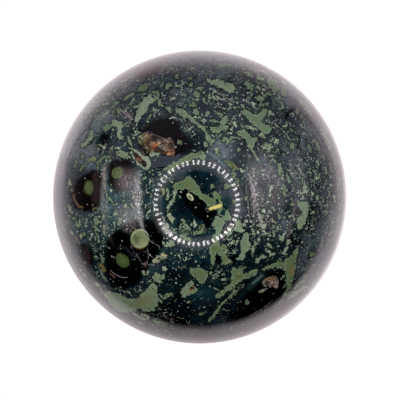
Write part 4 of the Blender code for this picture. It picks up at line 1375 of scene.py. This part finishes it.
def loose_grains(stone, thickness, dust_and_sparkle, lively):
    """Crumbs, chips, specks and curls of green strewn over the ground: mask, colour and dark fringe."""
    scarce = stone.without(thickness)
    crumb = stone.add(stone.noise("crumb"), scarce, CRUMB_SCARCITY)
    hollow = stone.times(
        stone.step(crumb, *CRUMB_HEART), stone.step(stone.noise("crumb_hollow"), *HOLLOW_PLACE)
    )
    crumbs = stone.times(stone.step(crumb, *CRUMB_EDGE), stone.without(hollow))
    chip = stone.add(stone.noise("chip"), scarce, CHIP_SCARCITY)
    chips = stone.times(stone.step(chip, *CHIP_EDGE), stone.step(stone.noise("chip_place"), *CHIP_PLACE))
    share = stone.add(dust_and_sparkle, thickness, SPECK_SHARE)
    specks, number = stone.dots(stone.pushed("speck_push", SPECK_PUSH), SPECK_SCALE, share, *SPECK_SIZES)
    ridge = stone.math("ABSOLUTE", stone.noise("curl"))
    curls = stone.times(stone.fall(ridge, *CURL_LINE), stone.step(stone.noise("curl_place"), *CURL_PLACE))
    curls = stone.times(curls, stone.step(thickness, *CURL_THICKNESS))

    pale = stone.measure("pale")
    mottle = stone.step(stone.noise("grain_mottle"), *MOTTLE_SPAN)
    crumb_share = stone.times(stone.add(CRUMB_LEAST_PALE, mottle, CRUMB_BY_MOTTLE), pale)
    crumb_colour = stone.mix(crumb_share, CRUMB_DARK, CRUMB_PALE)
    grain_share = stone.add(GRAIN_LEAST_PALE, number, GRAIN_BY_NUMBER)
    grain_share = stone.times(stone.add(grain_share, mottle, GRAIN_BY_MOTTLE), pale)
    grain_colour = stone.mix(grain_share, GRAIN_DARK, GRAIN_PALE)
    colour = stone.mix(stone.most(specks, chips), crumb_colour, grain_colour)
    fringe = stone.most(
        stone.step(crumb, *CRUMB_FRINGE, GRAIN_FRINGE_SHARE),
        stone.step(chip, *CHIP_FRINGE, GRAIN_FRINGE_SHARE),
    )
    return stone.most(crumbs, stone.times(stone.most(specks, chips, curls), lively)), colour, fringe


# Dark grains eat a mark where their noise passes a limit that wear lowers.
EATEN_LIMIT = 0.27
EATEN_BY_WEAR = -0.24
EATEN_EDGE = (-0.01, 0.02)

# The green of the marks: its tones, and how its tone swings with the noises.
GREEN_TONES = [
    (DEEP, rgb(78, 96, 76)),
    (OLIVE, rgb(118, 128, 84)),
    (MOSS, rgb(115, 141, 100)),
    (JADE, rgb(118, 148, 116)),
    (SAGE, rgb(138, 165, 135)),
    (LICHEN, rgb(150, 171, 140)),
    (PALE, rgb(168, 190, 164)),
    (CREAM, rgb(206, 206, 170)),
]
TONE_BY_MEDIUM = 0.45
TONE_BY_FINE = 0.2

# What lies over that green: the lighter edge, the olive inside, the shade of the fine noise and the
# pores, each with where it sets in.
MARK_EDGE = rgb(184, 206, 174)
MARK_EDGE_SPAN = (0.3, 1.5)
MARK_EDGE_SHARE = 0.45
OLIVE_TINT = rgb(255, 251, 242)
OLIVE_SPAN = (0.5, 4.0)
OLIVE_SHARE = 0.8
OLIVE_BY_MEDIUM = 1.5
SHADE_TINT = rgb(226, 232, 230)
MARK_SHADE_SPAN = (-0.12, 0.14)
MARK_PORE = rgb(44, 54, 44)
PORE_SPAN = (0.15, 0.19)
PORE_SHARE = 0.8


def eaten_away(stone):
    """Where dark grains eat into worn and broken marks."""
    limit = stone.add(EATEN_LIMIT, stone.measure("wear"), EATEN_BY_WEAR)
    gap = stone.math("SUBTRACT", stone.noise("eaten"), limit)
    return stone.step(gap, *EATEN_EDGE)


def green_mark_colour(stone, depth, fine, medium):
    """The green of the marks: lighter along the edge, more olive inside, mottled, with dark pores."""
    tone = stone.add(stone.measure("tone"), medium, TONE_BY_MEDIUM)
    green = stone.ramp(stone.add(tone, fine, TONE_BY_FINE), GREEN_TONES)
    green = stone.mix(stone.fall(depth, *MARK_EDGE_SPAN, MARK_EDGE_SHARE), green, MARK_EDGE)
    inner = stone.add(stone.step(depth, *OLIVE_SPAN, OLIVE_SHARE), medium, OLIVE_BY_MEDIUM)
    green = stone.mix(inner, green, OLIVE_TINT, "MULTIPLY")
    green = stone.mix(stone.step(fine, *MARK_SHADE_SPAN), green, SHADE_TINT, "MULTIPLY")
    return stone.mix(stone.step(stone.noise("pore"), *PORE_SPAN, PORE_SHARE), green, MARK_PORE)


# Crystals in the vugs: ragged cells to the millimetre, from darkened paint to plain paint. Cells whose number
# is above a limit, which a sparkling paint lowers, turn into black gaps of painted shade or into painted
# glints.
CRYSTAL_PUSH = 0.2
CRYSTAL_SCALE = 3.0
CRYSTAL_SHADE = rgb(112, 92, 78)
CRYSTAL_SPAN = (0.1, 0.7)
SHADE_GAP_LIMIT = 0.85
GLINT_LIMIT = 0.93
BROKEN_SHARE = 0.8


def vug_colour(stone):
    """Crystals in the vugs: paint broken up into grains of light and dark, black gaps of painted shade and
    painted glints.
    """
    numbers = stone.cells(stone.pushed("crystal_push", CRYSTAL_PUSH), CRYSTAL_SCALE)[1]
    paint, calm = stone.paint("vug_paint")
    dark = stone.mix(1.0, paint, CRYSTAL_SHADE, "MULTIPLY")
    grains = stone.mix(stone.step(numbers[0], *CRYSTAL_SPAN), dark, paint)
    # Black gaps of painted shade, then painted glints.
    shade_gaps = stone.math("GREATER_THAN", numbers[2], stone.times(calm, SHADE_GAP_LIMIT))
    grains = stone.mix(stone.times(shade_gaps, BROKEN_SHARE), grains, INK)
    painted_glints = stone.math("GREATER_THAN", numbers[1], stone.times(calm, GLINT_LIMIT))
    return stone.mix(stone.times(painted_glints, BROKEN_SHARE), grains, BONE)


# How far the noises move the edges of marks, grounds, clearings, orbs, vugs and lines, and the depths
# in picture points over which each of them sets in.
WANDER_BY_FINE = 5.0
WANDER_BY_MEDIUM = 7.0
DARK_WANDER = 1.2
DARK_EDGE = (-2.8, 2.2)
CLEARING_WANDER = 2.0
CLEARING_EDGE = (-0.5, 0.9)
GREEN_EDGE = (-0.4, 0.4)
EYE_WANDER = 0.8
EYE_EDGE = (-0.5, 0.5)
VUG_WANDER = 3.0
VUG_EDGE = (-0.6, 0.2)
LINE_WANDER = 1.2
LINE_EDGE = (0.3, 1.3)
LINE_REACH = (-1.5, -1.0)
LINE_GAPS = (-0.16, 0.0)
EYE_SHADE_SPAN = (-0.1, 0.15)
EYE_SHADE_SHARE = 0.5

# Loose grains thin out close to a mark, and a dark fringe runs round it. Dark grounds have some dust.
APART_SPAN = (-3.4, -0.9)
THIN_BY_MARKS = 0.15
MARK_FRINGE = (-1.7, -0.6)
MARK_FRINGE_SHARE = 0.7
DARK_DUST = 0.05

# The belt round the ball where the fine grains are calm: its height, how calm, and how it ends, in
# millimetres.
BELT_HEIGHT = 35.0
CALM = 0.34
BELT_EDGE = (3.0, 9.0)
BELT_WANDER = 20.0


def liveliness(stone):
    """How strongly the fine grains show: less in the belt."""
    height = stone.parts(stone.place)["Z"]
    off_belt = stone.math("ABSOLUTE", stone.math("SUBTRACT", height, BELT_HEIGHT))
    off_belt = stone.add(off_belt, stone.noise("belt"), BELT_WANDER)
    return stone.add(CALM, stone.step(off_belt, *BELT_EDGE), 1 - CALM)


def ground_and_marks(stone, fine, medium):
    """The ground, its loose grains and the green marks. Their edges wander by about a picture point."""
    wander = stone.add(stone.times(fine, WANDER_BY_FINE), medium, WANDER_BY_MEDIUM)
    dark = stone.step(stone.add(stone.measure("ground"), wander, DARK_WANDER), *DARK_EDGE)
    clear = stone.step(stone.add(stone.measure("clearing"), fine, CLEARING_WANDER), *CLEARING_EDGE)
    open_ground = stone.times(stone.without(dark), stone.without(clear))
    depth = stone.add(stone.measure("green"), wander)
    mark = stone.times(stone.step(depth, *GREEN_EDGE), stone.without(eaten_away(stone)))
    colour = stone_ground(stone, open_ground, dark, clear, depth)

    apart = stone.add(THIN_BY_MARKS, stone.fall(depth, *APART_SPAN), 1 - THIN_BY_MARKS)
    thickness = stone.times(stone.measure("grain"), open_ground, apart)
    dust_and_sparkle = stone.times(dark, DARK_DUST)
    grains, grain_colour, fringe = loose_grains(stone, thickness, dust_and_sparkle, liveliness(stone))
    fringe = stone.most(fringe, stone.step(depth, *MARK_FRINGE, MARK_FRINGE_SHARE))
    colour = stone.mix(stone.times(fringe, open_ground), colour, INK)
    colour = stone.mix(grains, colour, grain_colour)
    return stone.mix(mark, colour, green_mark_colour(stone, depth, fine, medium))


def with_orbs(stone, colour, fine):
    eye = stone.step(stone.add(stone.measure("eye"), fine, EYE_WANDER), *EYE_EDGE)
    shade = stone.step(fine, *EYE_SHADE_SPAN, EYE_SHADE_SHARE)
    return stone.mix(eye, colour, stone.mix(shade, stone.paint("eye_paint")[0], SHADE_TINT, "MULTIPLY"))


def with_lines(stone, colour, fine):
    side = stone.math("ABSOLUTE", stone.add(stone.measure("side"), fine, LINE_WANDER))
    paint, strength = stone.paint("line_paint")
    line = stone.times(stone.fall(side, *LINE_EDGE), stone.step(stone.measure("line"), *LINE_REACH))
    line = stone.times(line, strength, stone.step(stone.noise("line_gap"), *LINE_GAPS))
    return stone.mix(line, colour, paint)


# Painted sparkle: pale specks painted into the stone's colour where the pitted patches break up the bright
# reflections.
PAINTED_SPARKLE = rgb(196, 187, 186)
SPARKLE_EDGE = (0.05, 0.08)
SPARKLE_PLACE = (0.1, 0.9)
SPARKLE_SHARE = 0.6

# The polish. Its heights are in metres: it is all but flat, with pitted patches, and the crystals in
# the vugs are rough.
REFRACTION = 1.54
POLISH_ROUGHNESS = 0.05
VUG_ROUGHNESS = 0.5
PITTED_ROUGHNESS = 0.10
POLISH_HEIGHT = 0.9e-6
PITTED_HEIGHT = 1.4e-5
CRYSTAL_HEIGHT = 2.0e-4


def polish(stone, shader, colour, vug):
    """Painted sparkle, shine and fine relief."""
    pitted = stone.measure("pitted")
    # Painted sparkle: pale specks over the pitted patches, where reflections lie.
    dust_and_sparkle = stone.step(pitted, *SPARKLE_PLACE, SPARKLE_SHARE)
    dust_and_sparkle = stone.times(stone.step(stone.noise("dust_and_sparkle"), *SPARKLE_EDGE), dust_and_sparkle)
    stone.feed(shader.inputs["Base Color"], stone.mix(dust_and_sparkle, colour, PAINTED_SPARKLE))
    roughness = stone.add(POLISH_ROUGHNESS, vug, VUG_ROUGHNESS)
    stone.feed(shader.inputs["Roughness"], stone.add(roughness, pitted, PITTED_ROUGHNESS))
    shader.inputs["IOR"].default_value = REFRACTION
    height = stone.times(stone.noise("polish"), stone.add(POLISH_HEIGHT, pitted, PITTED_HEIGHT))
    crystals = stone.times(stone.noise("crystal"), vug)
    bump = stone.node("Bump")
    stone.feed(bump.inputs["Height"], stone.add(height, crystals, CRYSTAL_HEIGHT))
    bump.inputs["Distance"].default_value = 1.0
    stone.feed(shader.inputs["Normal"], bump.outputs[0])


def jasper_material():
    """The stone, painted from its ground up, and then polished."""
    material = bpy.data.materials.new("polished_jasper_stone")
    material.use_nodes = True
    stone = Tree(material.node_tree)
    stone.read_millimetres()
    fine = stone.noise("fine")
    medium = stone.noise("medium")
    vug = stone.step(stone.add(stone.measure("vug"), fine, VUG_WANDER), *VUG_EDGE)
    colour = with_orbs(stone, ground_and_marks(stone, fine, medium), fine)
    colour = stone.mix(vug, colour, vug_colour(stone))
    dab, strength = stone.paint("dab_paint")
    colour = with_lines(stone, stone.mix(strength, colour, dab), fine)
    polish(stone, material.node_tree.nodes["Principled BSDF"], colour, vug)
    return material


def glowing_material(name):
    """A material that has no surface yet, and its tree."""
    material = bpy.data.materials.new(name)
    material.use_nodes = True
    tree = Tree(material.node_tree)
    material.node_tree.nodes.remove(material.node_tree.nodes["Principled BSDF"])
    tree.read_millimetres()
    return material, tree


def give_surface(material, tree, surface):
    tree.feed(material.node_tree.nodes["Material Output"].inputs["Surface"], surface.outputs[0])


def place_light(name, kind, where, energy, colour, **sizes):
    """A light that faces the ball and that the camera doesn't see."""
    light = bpy.data.lights.new(name, kind)
    light.energy = energy
    light.color = colour
    for key, value in sizes.items():
        setattr(light, key, value)
    holder = bpy.data.objects.new(name, light)
    bpy.context.collection.objects.link(holder)
    holder.location = where
    holder.rotation_euler = (CENTRE - where).to_track_quat("-Z", "Y").to_euler()
    holder.visible_camera = False


# A ring light round the camera: two rows of small lamps on a pale body. The lamps stand a little
# unevenly, are brighter towards +X and -Y by LAMP_LEAN, and brighter still over WARM_TURNS, in
# degrees from +X.
LAMPS_IN_A_ROW = 50
ROW_RADII = (0.1358, 0.1449)
RING_MIDDLE = Vector((-0.0125, -0.0277, CENTRE.z + CAMERA_DISTANCE))
LAMP_SIZE = 0.0070
LAMP_RADIANCE = 22.0
LAMP_COLOUR = (1.0, 0.92, 0.93)
LAMP_SWAY = 0.08
SWAY_STEP = 2.3
LAMP_LEAN = 0.15
WARM_TURNS = (205, 245)
WARM_BOOST = 1.8

# The body: a sheet in metres, and the glow on it by distance from its middle in millimetres.
SHEET_RADIUS = 0.2
SHEET_SIDES = 64
BODY_RADII = (107, 174)
BODY_RADIANCE = 0.75
BODY_EDGE = 12


def ring_of_lamps():
    """Two rows of lamps. A lamp's power is its radiance times pi times its area."""
    for row, radius in enumerate(ROW_RADII):
        for lamp in range(LAMPS_IN_A_ROW):
            turn = 360 * (lamp + LAMP_SWAY * np.sin(lamp * SWAY_STEP + row)) / LAMPS_IN_A_ROW
            boost = WARM_BOOST if WARM_TURNS[0] < turn < WARM_TURNS[1] else 1.0
            out = Vector((np.cos(np.radians(turn)), np.sin(np.radians(turn)), 0))
            boost *= 1 + LAMP_LEAN * (out.x - out.y)
            size = LAMP_SIZE * boost**0.5
            power = LAMP_RADIANCE * np.pi * np.pi * (size / 2) ** 2
            place_light(
                f"ring_lamp_{row}_{lamp:02d}", "AREA", RING_MIDDLE + out * radius, power,
                LAMP_COLOUR, shape="DISK", size=size,
            )


def ring_body():
    """The ring light's pale body: a sheet that glows only in a soft ring."""
    bpy.ops.object.select_all(action="DESELECT")
    bpy.ops.mesh.primitive_circle_add(
        vertices=SHEET_SIDES, radius=SHEET_RADIUS, fill_type="NGON", location=RING_MIDDLE
    )
    body = bpy.context.object
    body.name = "ring_light_body"
    material, glow = glowing_material("ring_light_glow")
    reach = glow.gap_from((0.0, 0.0, 0.0))
    inner, outer = BODY_RADII
    ring = glow.times(
        glow.step(reach, inner, inner + BODY_EDGE), glow.fall(reach, outer - BODY_EDGE, outer)
    )
    light = glow.node("Emission")
    glow.feed(light.inputs["Strength"], glow.times(ring, BODY_RADIANCE))
    both = glow.node("AddShader")
    glow.feed(both.inputs[0], light.outputs[0])
    glow.feed(both.inputs[1], glow.node("BsdfTransparent").outputs[0])
    give_surface(material, glow, both)
    body.data.materials.append(material)
    body.visible_camera = False
    body.visible_shadow = False


# Soft lights in the room, as seen from the ball: azimuth from +X, angle from straight up, half width
# along that angle, half height along the azimuth, softness of the edge, the lean from straight up
# where its straight inner edge is (0 for none), radiance and tint. All angles are in degrees.
ROOM_LIGHTS = {
    "right_window": (11, 53, 15, 20, 0.5, 0, 1.4, (1.0, 0.99, 1.02)),
    "right_window_edge": (4, 42, 2.0, 16, 0.9, 0, 2.6, (1.0, 0.97, 1.0)),
    "right_window_far": (4, 83, 9, 18, 0.4, 0, 0.6, (0.95, 1.0, 1.05)),
    "left_window": (169, 57, 8, 7, 0.95, 46.3, 2.1, (1.12, 0.94, 1.0)),
    "left_window_low": (-166, 58, 8, 6, 0.9, 46.3, 2.4, (1.1, 0.96, 1.0)),
    "left_window_edge": (-175, 46.5, 2.4, 17, 0.7, 46.3, 10.5, (1.06, 0.97, 1.0)),
    "left_gap": (-179, 79, 1.8, 17, 0.9, 0, 1.7, (1.08, 0.98, 0.98)),
    "upper_wall": (100, 85, 45, 80, 0.6, 0, 0.15, (0.92, 0.98, 1.06)),
    "grey_pool": (40, 44, 9, 13, 0.8, 0, 0.35, (1.0, 1.0, 1.0)),
}
CUT_SOFTNESS = 0.6
ROOM_DARK = (0.006, 0.006, 0.007, 1.0)
DEGREES_IN_A_RADIAN = 57.29578
WHITE = (1.0, 1.0, 1.0, 1.0)


def room_light(sky, direction, upward, light):
    """The glow of one soft light in a direction, as a colour."""
    azimuth, off_axis, half_width, half_height, softness, cut, radiance, tint = light
    a, b = np.radians(azimuth), np.radians(off_axis)
    facing = sky.along(direction, (np.sin(b) * np.cos(a), np.sin(b) * np.sin(a), np.cos(b)))
    across = sky.along(direction, (np.cos(b) * np.cos(a), np.cos(b) * np.sin(a), -np.sin(b)))
    upright = sky.along(direction, (-np.sin(a), np.cos(a), 0.0))
    across = sky.times(sky.math("ARCTAN2", across, facing), DEGREES_IN_A_RADIAN / half_width)
    upright = sky.times(sky.math("ARCTAN2", upright, facing), DEGREES_IN_A_RADIAN / half_height)
    reach = sky.math("POWER", sky.add(sky.times(across, across), upright, upright), 0.5)
    glow = sky.fall(reach, 1 - softness, 1 + softness, radiance)
    if cut:
        lean = sky.math("ARCTAN2", sky.along(direction, (np.cos(a), np.sin(a), 0.0)), upward)
        lean = sky.times(lean, DEGREES_IN_A_RADIAN)
        glow = sky.times(glow, sky.step(lean, cut - CUT_SOFTNESS, cut + CUT_SOFTNESS))
    return sky.mix(1.0, tint + (1.0,), glow, "MULTIPLY")


def make_room():
    """Dark, with soft lights, in the stone's polish; white to the camera."""
    world = bpy.data.worlds.new("studio")
    bpy.context.scene.world = world
    world.use_nodes = True
    sky = Tree(world.node_tree)
    direction = sky.node("TexCoord").outputs["Generated"]
    upward = sky.parts(direction)["Z"]
    glow = ROOM_DARK
    for light in ROOM_LIGHTS.values():
        glow = sky.mix(1.0, glow, room_light(sky, direction, upward, light), "ADD")
    glow = sky.mix(sky.node("LightPath").outputs["Is Camera Ray"], glow, WHITE)
    sky.feed(world.node_tree.nodes["Background"].inputs["Color"], glow)


# The table's glow in the polish, by place in millimetres from the ball's foot, or by distance from
# FLOOR_MIDDLE. On the far side, towards +Y, it is even to FLOOR_FLAT and then fades slowly. On the
# near side it is bright up to the table's edge, and brighter on the right.
FLOOR_SIZE = 6.0
FLOOR_GLOW = (1.2, 1.06, 1.12)
FLOOR_MIDDLE = (0.0, 15.0, 0.0)
FLOOR_FLAT = 60.0
FLOOR_FALL = 30.0
TABLE_EDGE = (92.0, 140.0)
NEAR_BRIGHTNESS = 0.84
NEAR_RIGHT_BOOST = 0.35
NEAR_RIGHT = (5.0, 60.0)
NEAR_SIDE = (-70.0, 5.0)

# The ball's own shade on the near half, and the glow close to the ball on the far half.
CONTACT_SHADE = 0.72
CONTACT_REACH = (38.0, 72.0)
UPPER_SIDE = (-10.0, 30.0)
UPPER_REACH = (64.0, 84.0)
UPPER_GLOW = 1.05
UPPER_FALL = 0.27

# On the near half, light close to the ball on the right, a dim strip in front of it, and a dim patch
# on the left.
RIGHT_LIFT = 0.44
RIGHT_LIFT_REACH = (43.0, 54.0)
FRONT_PLACE = 8.0
FRONT_REACH = (5.0, 40.0)
FRONT_DIM = 0.2
LEFT_DARK_PLACE = (-92.0, -54.0, 0.0)
LEFT_DARK_REACH = (8.0, 30.0)
LEFT_DIM = 0.6


def table_glow(table):
    """How bright the table is in the polish."""
    across, away = table.parts(table.place)[:2]
    from_middle = table.gap_from(FLOOR_MIDDLE)
    from_foot = table.gap_from((0.0, 0.0, 0.0))
    rightward = table.step(across, *NEAR_RIGHT)
    far_half = table.step(away, *UPPER_SIDE)
    near_half = table.without(far_half)

    beyond = table.math("MAXIMUM", table.math("SUBTRACT", from_middle, FLOOR_FLAT), 0.0)
    beyond = table.times(beyond, 1 / FLOOR_FALL)
    far_glow = table.math("DIVIDE", 1.0, table.add(1.0, beyond, beyond))
    near_bright = table.add(NEAR_BRIGHTNESS, rightward, NEAR_RIGHT_BOOST)
    near_glow = table.times(table.fall(from_middle, *TABLE_EDGE), near_bright)
    near_share = table.fall(away, *NEAR_SIDE)
    glow = table.add(table.times(near_share, near_glow), table.without(near_share), far_glow)

    near_foot = table.add(CONTACT_SHADE, table.step(from_middle, *CONTACT_REACH), 1 - CONTACT_SHADE)
    far_foot = table.add(UPPER_GLOW, table.step(from_foot, *UPPER_REACH), -UPPER_FALL)
    foot = table.add(table.times(near_foot, near_half), far_half, far_foot)
    lift = table.times(rightward, near_half, table.fall(from_foot, *RIGHT_LIFT_REACH))
    front = table.fall(table.math("ABSOLUTE", table.add(across, FRONT_PLACE)), *FRONT_REACH)
    front = table.times(front, near_half)
    left = table.fall(table.gap_from(LEFT_DARK_PLACE), *LEFT_DARK_REACH)
    dimmer = table.times(table.add(1.0, front, -FRONT_DIM), table.add(1.0, left, -LEFT_DIM))
    return table.times(glow, table.add(foot, lift, RIGHT_LIFT), dimmer)


def floor_material():
    """White to the camera; in the stone's polish, a pale table that darkens away from the ball."""
    material, table = glowing_material("white_table")
    seen = table.node("LightPath").outputs["Is Camera Ray"]
    glow = table.node("Emission")
    glow.inputs["Color"].default_value = FLOOR_GLOW + (1.0,)
    table.feed(glow.inputs["Strength"], table.most(table_glow(table), seen))
    give_surface(material, table, glow)
    return material


def make_floor():
    bpy.ops.object.select_all(action="DESELECT")
    bpy.ops.mesh.primitive_plane_add(size=FLOOR_SIZE, location=(0, 0, 0))
    floor = bpy.context.object
    floor.name = "pale_floor"
    floor.data.materials.append(floor_material())


def make_camera():
    lens = bpy.data.cameras.new("overhead")
    lens.sensor_width = SENSOR
    lens.lens = SENSOR * POINTS_PER_TANGENT / PICTURE
    lens.clip_start = NEAREST_SEEN
    camera = bpy.data.objects.new("overhead", lens)
    camera.location = CAMERA
    bpy.context.collection.objects.link(camera)
    bpy.context.scene.camera = camera


ball = make_ball()
ball.data.materials.append(jasper_material())
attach(ball, "root")
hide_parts(NODE)

make_floor()
make_room()
make_camera()
ring_of_lamps()
ring_body()
bpy.context.scene.view_settings.view_transform = "Standard"
